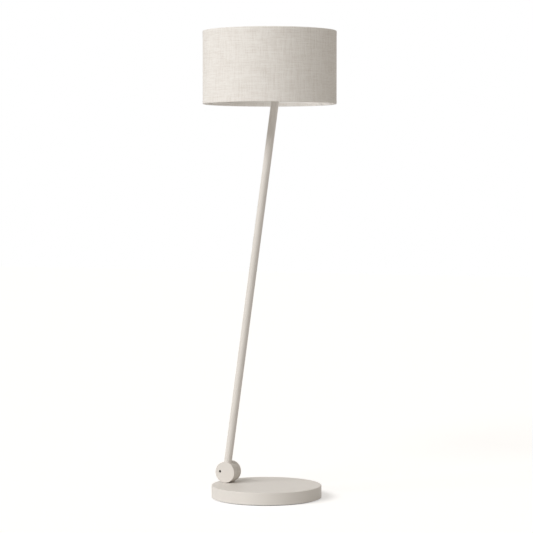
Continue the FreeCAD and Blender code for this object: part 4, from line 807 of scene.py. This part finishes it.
class LAMP_OT_base(bpy.types.Operator):
    """Spun cover with a rounded edge, felt pad, its screws and the rubber inlet bush"""
    bl_idname = "lamp.base"
    bl_label = "Base"
    bush_neck = 0.0058
    screw_head = 0.004

    def execute(self, context):
        sizes = context.scene.lamp_sizes
        inlet_low, inlet_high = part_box("cord_inlet")
        self.build_cover(sizes, (inlet_low + inlet_high) / 2)
        self.build_pad(sizes)
        self.build_screws()
        self.build_bush(sizes, inlet_low, inlet_high)
        return {"FINISHED"}

    def build_cover(self, sizes, inlet):
        low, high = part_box("base_cover")
        outer = high.x
        wall = high.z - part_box("base_weight")[1].z
        edge = sizes.cover_edge
        cover = lathe([
            (0, high.z - wall, 0), (outer - wall, high.z - wall, edge / 3),
            (outer - wall, low.z, 0.0006), (outer, low.z, 0.0006), (outer, high.z, edge),
            (0, high.z, 0)], sizes.round_steps)
        screws_low, screws_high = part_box("foot_screws")
        head = (screws_high.y - screws_low.y) / 2
        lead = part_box("base_lead")[1].y - sizes.lead_radius
        through = [(screws_low.x + head, screws_low.y + head, sizes.foot_hole),
                   (screws_high.x - head, screws_low.y + head, sizes.foot_hole),
                   (HINGE_AT.x, lead, sizes.lead_bore / 2)]
        holes = [placed(prism(40, radius, high.z - 2 * wall, high.z + wall), shift(x, y))
                 for x, y, radius in through]
        mouth = placed(prism(48, self.bush_neck + sizes.snug, -0.01, 0.01),
                       shift(inlet.x, outer, inlet.z) @ ALONG_Y)
        piece("base_shell", cut(cover, *holes, mouth), "base", "powder_coat_steel", "base_cover")

    def build_pad(self, sizes):
        low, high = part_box("floor_pad")
        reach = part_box("plate_screws")[1].x - self.screw_head
        pad = lathe([(0, low.z, 0), (high.x, low.z, 0.0007), (high.x, high.z, 0.0004),
                     (0, high.z, 0)], sizes.round_steps, flats=3)
        holes = [placed(prism(40, sizes.pad_hole, low.z - 0.001, high.z + 0.001),
                        turned(120 * index) @ shift(reach)) for index in range(3)]
        piece("felt_pad", cut(pad, *holes), "base", "felt", "floor_pad")

    def build_screws(self):
        """Three pan head screws with a cross recess."""
        low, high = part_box("plate_screws")
        head = self.screw_head
        neck = low.z + head / 2
        side = (neck + 0.0002, high.z - 0.0006)
        group = []
        for index in range(3):
            screw = lathe([
                (0, low.z, 0), (head, low.z, 0.0012), (head, neck, 0), (head / 2, neck, 0),
                *column(head / 2, *side, 0.00025),
                (head / 3, high.z, 0), (0, high.z, 0)], 32, flats=4)
            threaded(screw, head / 2, *side, 0.0014, 0.0003)
            bars = [placed(block(0.0046, 0.0009, 0.0024), shift(z=low.z) @ turned(slot))
                    for slot in (0, 90)]
            group.append(placed(cut(screw, *bars), turned(120 * index) @ shift(high.x - head)))
        piece("pad_screws", joined(*group), "base", "zinc_steel", "plate_screws")

    def build_bush(self, sizes, low, high):
        tall = high.y - low.y
        flange = (high.x - low.x) / 2
        neck = self.bush_neck
        bore = 0.0036
        bush = lathe([
            (bore, 0, 0.0008), (neck, 0, 0.0006), (flange - 0.0012, 0.0025, 0.0008),
            (flange - 0.0012, 0.0055, 0.0003), (neck, 0.0055, 0), (neck, tall - 0.0021, 0),
            (flange, tall - 0.0021, 0.0003), (flange, tall, 0.0012),
            (bore + 0.0012, tall, 0.0006), (bore, tall - 0.0012, 0.0006)],
            sizes.small_steps, ring=True, flats=4)
        centre = (low + high) / 2
        piece("inlet_bush", placed(bush, shift(centre.x, low.y, centre.z) @ ALONG_Y), "base",
              "rubber_bush", "cord_inlet")


# ---------------------------------------------------------------- hinge

class LAMP_OT_hinge(bpy.types.Operator):
    """Two turned discs, the foot, the rear cap and the lock screw"""
    bl_idname = "lamp.hinge"
    bl_label = "Hinge"

    def execute(self, context):
        sizes = context.scene.lamp_sizes
        rim = span("hinge_front_disc", POLE)[1].z
        self.build_front(sizes, rim)
        self.build_rear(sizes, rim)
        low, high = span("rear_cap", HINGE)
        cap = lathe([(0, low.y, 0), (high.x, low.y, 0), (high.x, high.y, 0.0004),
                     (0, high.y, 0)], sizes.round_steps, flats=4)
        piece("rear_plug", placed(cap, HINGE @ ALONG_Y), "base", "powder_coat_alloy", "rear_cap")
        return {"FINISHED"}

    def build_front(self, sizes, rim):
        """Disc that carries the pole, with the lock screw in its face."""
        low, high = span("hinge_front_disc", POLE)
        axle_low, axle_high = span("hinge_axle", POLE)
        disc = lathe([
            (0, low.y, 0), (rim, low.y, sizes.disc_edge), (rim, high.y, sizes.disc_edge),
            (axle_high.x, high.y, 0.0003), (axle_high.x, axle_low.y, 0), (0, axle_low.y, 0)],
            sizes.round_steps)
        lock_low, lock_high = span("lock_screw", POLE)
        centre = (lock_low + lock_high) / 2
        thread = (lock_high.x - lock_low.x) / 2
        slack = sizes.snug
        bevel = sizes.lock_bevel
        mouth = lathe([
            (0, low.y - 0.001, 0), (thread + bevel + 0.001, low.y - 0.001, 0),
            (thread + slack, low.y + bevel, 0), (thread + slack, high.y + 0.001, 0),
            (0, high.y + 0.001, 0)], 48)
        stud_low, stud_high = span("pole_spigot", POLE)
        seat = prism(64, stud_high.x + slack, rim - sizes.spigot_seat, rim + 0.01)
        stud = prism(48, sizes.bolt_bore, stud_low.z - 0.001, rim)
        lead = prism(40, sizes.lead_bore / 2, 0, rim)
        pin_low, pin_high = span("stop_pin", POLE)
        pin = placed(prism(32, (pin_high.z - pin_low.z) / 2 + slack, pin_low.y, high.y + 0.001),
                     shift((pin_low.x + pin_high.x) / 2, 0, (pin_low.z + pin_high.z) / 2)
                     @ ALONG_Y)
        aside = shift(centre.x, 0, centre.z) @ ALONG_Y
        disc = cut(placed(disc, ALONG_Y), placed(mouth, aside), seat, stud, lead, pin)
        piece("front_disc", placed(disc, POLE), "pole", "powder_coat_alloy", "hinge_front_disc")
        screw = grub_screw(thread, lock_low.y, lock_high.y, sizes.fine_thread, sizes.lock_socket)
        piece("lock_grub", placed(screw, POLE @ aside), "lock_screw", "black_steel", "lock_screw")

    def build_rear(self, sizes, rim):
        """Disc on the base with its foot, its cavity and the stop pin's slot."""
        low, high = span("hinge_rear_disc", HINGE)
        cap_low, cap_high = span("rear_cap", HINGE)
        seat = cap_high.x + 0.0001
        cavity = sizes.disc_cavity / 2
        web = low.y + sizes.disc_web
        disc = placed(lathe([
            (sizes.bush_bore, low.y, 0.0003), (rim, low.y, sizes.disc_edge),
            (rim, high.y, sizes.disc_edge), (seat, high.y, 0.0003), (seat, cap_low.y, 0),
            (cavity, cap_low.y, 0), (cavity, web, 0), (sizes.bush_bore, web, 0)],
            sizes.round_steps, ring=True), ALONG_Y)
        tall = rim / 2
        deep = high.y - low.y - 2 * sizes.foot_inset
        foot = placed(block(sizes.foot_width, deep, tall, sizes.foot_bevel),
                      shift(0, (low.y + high.y) / 2, low.z + tall / 2))
        hollow = placed(prism(sizes.round_steps, rim - sizes.disc_edge, -1, 1), ALONG_Y)
        disc = joined(disc, cut(foot, hollow))
        pin_low, pin_high = span("stop_pin", HINGE)
        radius = (pin_high.z - pin_low.z) / 2 + sizes.pin_play
        rest = shift((pin_low.x + pin_high.x) / 2, 0, (pin_low.z + pin_high.z) / 2)
        travel = [placed(prism(24, radius, low.y - 0.001, pin_high.y + sizes.pin_play),
                         turned(tilt, "Y") @ rest @ ALONG_Y)
                  for tilt in (-8.3, -4.5, -0.7, 3.1, 6.7)]
        screws_low, screws_high = span("foot_screws", HINGE)
        head = (screws_high.y - screws_low.y) / 2
        sunk = [placed(prism(32, 0.00305, low.z - 0.001, screws_high.z + 0.0005),
                       shift(x, screws_low.y + head))
                for x in (screws_low.x + head, screws_high.x - head)]
        lead = span("base_lead", HINGE)[1].y - sizes.lead_radius
        passage = placed(prism(40, sizes.lead_bore / 2, low.z - 0.001, -cavity + 0.001),
                         shift(y=lead))
        piece("rear_disc", placed(cut(disc, *travel, *sunk, passage), HINGE), "base",
              "powder_coat_alloy", "hinge_rear_disc")


# ---------------------------------------------------------------- pole and swivel

class LAMP_OT_pole(bpy.types.Operator):
    """Straight tube coped on the front disc, with two grub screws in its back"""
    bl_idname = "lamp.pole"
    bl_label = "Pole"

    def execute(self, context):
        sizes = context.scene.lamp_sizes
        high = span("pole_tube", POLE)[1]
        radius = high.x
        inner = radius - sizes.tube_wall
        rim = span("hinge_front_disc", POLE)[1].z
        tube = lathe([(inner, rim - 0.006, 0), (radius, rim - 0.006, 0),
                      (radius, high.z, 0.0003), (inner, high.z, 0.0003)],
                     sizes.small_steps * 2, ring=True, flats=2)
        cope = placed(prism(sizes.round_steps, rim + sizes.snug, -0.03, 0.03), ALONG_Y)
        grub_low, grub_high = span("pole_grub_screws", POLE)
        thread = (grub_high.x - grub_low.x) / 2
        heights = (grub_low.z + thread, grub_high.z - thread)
        holes = [placed(prism(32, thread + 0.0002, 0.006, 0.02), shift(z=height) @ ALONG_Y)
                 for height in heights]
        piece("pole", placed(cut(tube, cope, *holes), POLE), "pole", "powder_coat_steel",
              "pole_tube")
        screws = [placed(grub_screw(thread, -grub_high.y, -grub_low.y, 0.0008, thread),
                         shift(z=height) @ turned(180) @ ALONG_Y) for height in heights]
        piece("pole_grubs", placed(joined(*screws), POLE), "pole", "black_steel",
              "pole_grub_screws")
        return {"FINISHED"}


class LAMP_OT_swivel(bpy.types.Operator):
    """Knuckle on the pole, arm under the lampholder, hollow bolt and nut"""
    bl_idname = "lamp.swivel"
    bl_label = "Swivel"

    def execute(self, context):
        sizes = context.scene.lamp_sizes
        radius = span("swivel_arm", HEAD)[1].x
        half = sizes.swivel_disc / 2
        disc = [(0, -half, 0), (radius, -half, 0.0008), (radius, half, 0.0008), (0, half, 0)]
        bore = sizes.bolt_bore
        self.build_knuckle(sizes, disc, radius, half, bore)
        self.build_arm(sizes, disc, half, bore)
        low, high = span("swivel_bolt", SWIVEL)
        seat = low.y + 0.0035
        passage = sizes.lead_bore / 2
        shank = bore - sizes.snug
        side = (high.y - 0.006, high.y - 0.0004)
        bolt = lathe([
            (0, low.y, 0), (high.x, low.y, 0.0008), (high.x, seat, 0.0002), (shank, seat, 0),
            *column(shank, *side, 0.0002), (shank - 0.0004, high.y, 0),
            (passage, high.y, 0), (passage, -passage - 0.0005, 0), (0, -passage - 0.0005, 0)],
            48, flats=3)
        threaded(bolt, shank, *side, sizes.fine_thread, 0.0005)
        window = placed(block(0.012, sizes.lead_bore, 0.0094),
                        Matrix.Rotation(-LEAN, 4, "Y") @ shift(-0.006, HEAD_Y))
        bolt = cut(placed(bolt, ALONG_Y), prism(40, passage, -0.012, 0), window,
                   placed(prism(6, 0.0035, low.y - 0.001, low.y + 0.0022), ALONG_Y))
        piece("swivel_screw", placed(bolt, SWIVEL), "pole", "nickel_part", "swivel_bolt")
        low, high = span("swivel_nut", SWIVEL)
        piece("swivel_lock", placed(nut(0.017, bore, low.y, high.y), SWIVEL @ ALONG_Y), "pole",
              "nickel_part", "swivel_nut")
        return {"FINISHED"}

    def build_knuckle(self, sizes, disc, radius, half, bore):
        low = span("swivel_lower", POLE)[0]
        tube = span("pole_tube", POLE)[1]
        plug = tube.x - sizes.tube_wall - sizes.snug
        collar = tube.z + 0.002
        neck = 0.007
        shank = lathe([
            (0, low.z, 0), (plug, low.z, 0.0008), (plug, tube.z, 0), (tube.x, tube.z, 0.0003),
            (tube.x, collar, 0.0006), (neck, collar, 0.0012), (neck, REACH, 0), (0, REACH, 0)],
            sizes.small_steps, flats=4)
        flats = [placed(block(0.05, 0.02, 0.03), shift(0, side * (half + 0.01),
                                                       REACH - radius + 0.015))
                 for side in (-1, 1)]
        head = placed(lathe(disc, sizes.small_steps, flats=3), shift(z=REACH) @ ALONG_Y)
        knuckle = cut(joined(cut(shank, *flats), head),
                      placed(prism(48, bore, -0.02, 0.02), shift(z=REACH) @ ALONG_Y),
                      prism(40, sizes.lead_bore / 2, low.z - 0.001, REACH))
        piece("swivel_knuckle", placed(knuckle, POLE), "pole", "powder_coat_alloy",
              "swivel_lower")

    def build_arm(self, sizes, disc, half, bore):
        low, high = span("swivel_arm", HEAD)
        boss = high.y
        reach = low.x + boss
        tall = 0.016
        bar = placed(block(-reach, 2 * half, tall, 0.0012, True), shift(reach / 2))
        end = placed(lathe([(0, -tall / 2, 0), (boss, -tall / 2, 0.0008),
                            (boss, tall / 2, 0.0008), (0, tall / 2, 0)], sizes.small_steps,
                           flats=3), shift(reach))
        head = placed(lathe(disc, sizes.small_steps, flats=3), ALONG_Y)
        nipple = span("holder_nipple", HEAD)[0].z
        arm = cut(joined(head, bar, end), placed(prism(48, bore, -0.02, 0.02), ALONG_Y),
                  placed(prism(40, sizes.lead_bore / 2, reach, 0), ALONG_X),
                  placed(prism(48, sizes.nipple_bore, nipple - 0.0002, 0.02), shift(reach)))
        piece("swivel_bracket", placed(arm, HEAD), "head", "powder_coat_alloy", "swivel_arm")


# ---------------------------------------------------------------- lampholder and bulb

class LAMP_OT_holder(bpy.types.Operator):
    """Lampholder: cap, threaded sleeve, screw shell, two clamping rings, nipple and nut"""
    bl_idname = "lamp.holder"
    bl_label = "Lampholder"

    def execute(self, context):
        sizes = context.scene.lamp_sizes
        steps = sizes.small_steps
        wall = 0.0018
        bore = sizes.nipple_bore
        low, high = span("holder_cap", SHADE)
        shoulder = low.z + 0.007
        slope = shoulder + 0.005
        cap = lathe([
            (bore, low.z, 0), (0.008, low.z, 0.0005), (0.008, shoulder, 0.0012),
            (high.x, slope, 0.002), (high.x, high.z, 0.0003), (high.x - wall, high.z, 0),
            (high.x - wall, slope + wall / 2, 0.001), (bore, shoulder + wall, 0)], steps,
            ring=True, flats=4)
        piece("holder_hood", placed(cap, SHADE), "head", "white_plastic", "holder_cap")

        low, high = span("holder_sleeve", SHADE)
        outer = high.x
        side = (low.z + 0.003, high.z - 0.0008)
        sleeve = lathe([
            (outer - wall, low.z, 0), (outer, low.z, 0.0004),
            *column(outer, *side, 0.002 / 6), (outer - 0.0008, high.z, 0.0003),
            (outer - wall, high.z, 0)], steps, ring=True, flats=2)
        threaded(sleeve, outer, *side, 0.002, 0.0006)
        piece("holder_skirt", placed(sleeve, SHADE), "head", "white_plastic", "holder_sleeve")
        self.build_clamps(steps, outer + sizes.snug)

        low, high = span("holder_shell", SHADE)
        inner = high.x - 0.0005
        spacing = sizes.cap_thread / 8
        shell = lathe([*column(inner, low.z, high.z, spacing),
                       *reversed(column(high.x, low.z, high.z, spacing))], steps, ring=True)
        for radius in (inner, high.x):
            threaded(shell, radius, low.z, high.z, sizes.cap_thread, 0.0005)
        piece("screw_shell", placed(shell, SHADE), "head", "nickel_part", "holder_shell")

        low, high = span("holder_nipple", SHADE)
        passage = sizes.lead_bore / 2
        side = (low.z + 0.0004, high.z - 0.0004)
        nipple = lathe([
            (passage, low.z, 0), (high.x - 0.0004, low.z, 0), *column(high.x, *side, 0.00017),
            (high.x - 0.0004, high.z, 0), (passage, high.z, 0)], steps, ring=True)
        threaded(nipple, high.x, *side, 0.001, 0.0005)
        piece("threaded_tube", placed(nipple, SHADE), "head", "zinc_steel", "holder_nipple")
        low, high = span("nipple_nut", SHADE)
        piece("tube_nut", placed(nut(0.014, bore, low.z, high.z, 0.0004), SHADE), "head",
              "zinc_steel", "nipple_nut")
        return {"FINISHED"}

    def build_clamps(self, steps, bore):
        """Two screwed rings with grip ribs that hold the fitter between them."""
        for node, sign in (("shade_ring_lower", 1), ("shade_ring_upper", -1)):
            low, high = span(node, SHADE)
            broad = high.z if sign > 0 else low.z
            slim = low.z if sign > 0 else high.z
            flange = broad - sign * 0.0023
            hub = high.x - 0.004
            ring = lathe([
                (bore, broad, 0), (high.x, broad, 0.0005), (high.x, flange, 0.0005),
                (hub, flange, 0.0006), (hub, slim, 0.0006), (bore, slim, 0.0004)],
                steps * 4, ring=True, flats=3)
            fluted(ring, hub, min(slim, flange), max(slim, flange), 36, 0.0007)
            piece("clamp_" + node[-5:], placed(ring, SHADE), "head", "white_plastic", node)


class LAMP_OT_bulb(bpy.types.Operator):
    """Screw cap, housing and round opal globe"""
    bl_idname = "lamp.bulb"
    bl_label = "Bulb"

    def execute(self, context):
        sizes = context.scene.lamp_sizes
        steps = sizes.small_steps
        low, high = span("bulb_cap", SHADE)
        pitch = sizes.cap_thread
        radius = high.x
        start = low.z + 0.0024
        cap = lathe([
            (0, low.z, 0), (0.005, low.z, 0.0006), (0.005, low.z + 0.0007, 0),
            (radius - 0.003, start - 0.0006, 0.0006), *column(radius, start, high.z, pitch / 8),
            (0, high.z, 0)], steps, flats=4)
        threaded(cap, radius, start, high.z - 0.002, pitch, 0.001)
        piece("bulb_screw", placed(cap, SHADE), "head", "nickel_part", "bulb_cap")

        low, high = span("bulb_globe", SHADE)
        globe = high.x
        centre = high.z - globe
        rim = math.sqrt(globe ** 2 - (centre - low.z) ** 2)
        base_low, base_high = span("bulb_housing", SHADE)
        bell = lathe([
            (0, base_low.z, 0), (radius + 0.0004, base_low.z, 0.0004),
            (radius + 0.0012, base_low.z + 0.006, 0.004), (rim, base_high.z, 0.0006),
            (0, base_high.z, 0)], steps)
        piece("bulb_body", placed(bell, SHADE), "head", "white_plastic", "bulb_housing")

        ball = bmesh.new()
        bmesh.ops.create_uvsphere(ball, u_segments=steps, v_segments=48, radius=globe,
                                  matrix=shift(z=centre))
        trimmed = bmesh.ops.bisect_plane(
            ball, geom=ball.verts[:] + ball.edges[:] + ball.faces[:],
            plane_co=(0, 0, low.z), plane_no=(0, 0, -1), clear_outer=True)
        edge = [item for item in trimmed["geom_cut"] if isinstance(item, bmesh.types.BMEdge)]
        bmesh.ops.contextual_create(ball, geom=edge)
        bmesh.ops.recalc_face_normals(ball, faces=ball.faces[:])
        piece("opal_globe", placed(ball, SHADE), "head", "opal", "bulb_globe")
        return {"FINISHED"}


# ---------------------------------------------------------------- shade

FITTER_RADIUS = 0.033
FITTER_THICK = 0.002


def spokes(slack=0.0):
    """Three wire arms from the fitter ring to the lower ring, and the bead at each weld."""
    low, high = span("lower_ring", SHADE)
    wire = high.z - low.z
    inner_end = (FITTER_RADIUS - 0.001, 0, span("shade_frame", SHADE)[1].z - FITTER_THICK / 2)
    outer_end = (high.x - wire / 2, 0, (low.z + high.z) / 2)
    arms = []
    for index in range(3):
        turn = turned(120 * (index + 0.5))
        bead = bmesh.new()
        bmesh.ops.create_icosphere(bead, subdivisions=3, radius=wire * 0.6 + slack,
                                   matrix=shift(*outer_end))
        arms += [placed(rod(inner_end, outer_end, wire / 2 + slack), turn), placed(bead, turn)]
    return arms


class LAMP_OT_wires(bpy.types.Operator):
    """Two wire rings, the fitter ring and three welded arms"""
    bl_idname = "lamp.wires"
    bl_label = "Shade wires"

    def execute(self, context):
        sizes = context.scene.lamp_sizes
        for node in ("top_ring", "lower_ring"):
            low, high = span(node, SHADE)
            wire = high.z - low.z
            ring = hoop(high.x - wire / 2, (low.z + high.z) / 2, wire, sizes.round_steps)
            piece(node + "_wire", placed(ring, SHADE), "head", "white_wire", node)
        top = span("shade_frame", SHADE)[1].z
        hole = span("holder_sleeve", SHADE)[1].x + 0.0002
        plate = lathe([
            (hole, top - FITTER_THICK, 0.0002), (FITTER_RADIUS, top - FITTER_THICK, 0.0006),
            (FITTER_RADIUS, top, 0.0006), (hole, top, 0.0002)], sizes.small_steps, ring=True,
            flats=3)
        piece("shade_spider", placed(joined(plate, *spokes()), SHADE), "head", "white_wire",
              "shade_frame")
        return {"FINISHED"}


class LAMP_OT_shade(bpy.types.Operator):
    """Linen drum curled over its rims, white film inside and the turned-in hems"""
    bl_idname = "lamp.shade"
    bl_label = "Shade"

    def execute(self, context):
        sizes = context.scene.lamp_sizes
        steps = sizes.round_steps
        low, high = span("shade_fabric", SHADE)
        outer = high.x
        out = outer - sizes.cloth
        curl = sizes.rim_curl
        band = sizes.hem_width
        base = outer - sizes.hem_step
        cloth = lathe([
            (outer - curl, low.z, 0), (outer, low.z, curl * 0.99),
            (outer, low.z + band, 0.0001), (base, low.z + band + 0.0002, 0),
            (base, high.z - band - 0.0002, 0), (outer, high.z - band, 0.0001),
            (outer, high.z, curl * 0.99), (outer - curl, high.z, 0),
            (outer - curl, high.z - sizes.cloth, 0), (out, high.z - sizes.cloth, curl * 0.7),
            (out, low.z + sizes.cloth, curl * 0.7), (outer - curl, low.z + sizes.cloth, 0)],
            steps, ring=True)
        cloth = piece("shade_cloth", placed(cloth, SHADE), "head", "linen", "shade_fabric")
        map_cloth(cloth, SHADE, outer)

        inner = out - sizes.film
        film = lathe([(inner, low.z + curl, 0), (out, low.z + curl, 0),
                      (out, high.z - curl, 0), (inner, high.z - curl, 0)], steps, ring=True)
        film = piece("shade_film", placed(film, SHADE), "head", "white_liner", "shade_liner")

        thick = sizes.fold
        turn_in = inner - sizes.fold_room
        for label, node, sign in (("top_fold", "top_hem", 1), ("lower_fold", "lower_hem", -1)):
            hem_low, hem_high = span(node, SHADE)
            rim = hem_high.z if sign > 0 else hem_low.z
            tail = hem_low.z if sign > 0 else hem_high.z
            fold = lathe([
                (outer - curl, rim, 0), (turn_in, rim, 0.0018), (turn_in, tail, 0.0002),
                (turn_in + thick, tail, 0.0002), (turn_in + thick, rim - sign * thick, 0.0013),
                (outer - curl, rim - sign * thick, 0)], steps, ring=True, flats=5)
            if sign < 0:
                fold = cut(fold, *spokes(0.0003))
            fold = piece(label, placed(fold, SHADE), "head", "linen", node)
            map_cloth(fold, SHADE, outer)
        return {"FINISHED"}


# ---------------------------------------------------------------- panel and registration

OPERATORS = (LAMP_OT_stage, LAMP_OT_finishes, LAMP_OT_base, LAMP_OT_hinge, LAMP_OT_pole,
             LAMP_OT_swivel, LAMP_OT_holder, LAMP_OT_bulb, LAMP_OT_wires, LAMP_OT_shade)


class LAMP_PT_pieces(bpy.types.Panel):
    """Lists the lamp's pieces"""
    bl_idname = "LAMP_PT_pieces"
    bl_label = "Floor lamp"
    bl_space_type = "VIEW_3D"
    bl_region_type = "UI"
    bl_category = "Lamp"

    def draw(self, context):
        for group in (context.scene.lamp_sizes, context.scene.lamp_colours,
                      context.scene.lamp_stage):
            box = self.layout.box()
            for name in group.__annotations__:
                box.prop(group, name)
        for operator in OPERATORS:
            self.layout.operator(operator.bl_idname)


CLASSES = (LampSizes, LampColours, StageSettings, *OPERATORS, LAMP_PT_pieces)


def register():
    for item in CLASSES:
        bpy.utils.register_class(item)
    bpy.types.Scene.lamp_sizes = PointerProperty(type=LampSizes)
    bpy.types.Scene.lamp_colours = PointerProperty(type=LampColours)
    bpy.types.Scene.lamp_stage = PointerProperty(type=StageSettings)


def unregister():
    del bpy.types.Scene.lamp_stage
    del bpy.types.Scene.lamp_colours
    del bpy.types.Scene.lamp_sizes
    for item in reversed(CLASSES):
        bpy.utils.unregister_class(item)


def main():
    """Register the add-on and make every piece in order."""
    register()
    for operator in OPERATORS:
        group, name = operator.bl_idname.split(".")
        getattr(getattr(bpy.ops, group), name)()


if __name__ == "__main__":
    main()
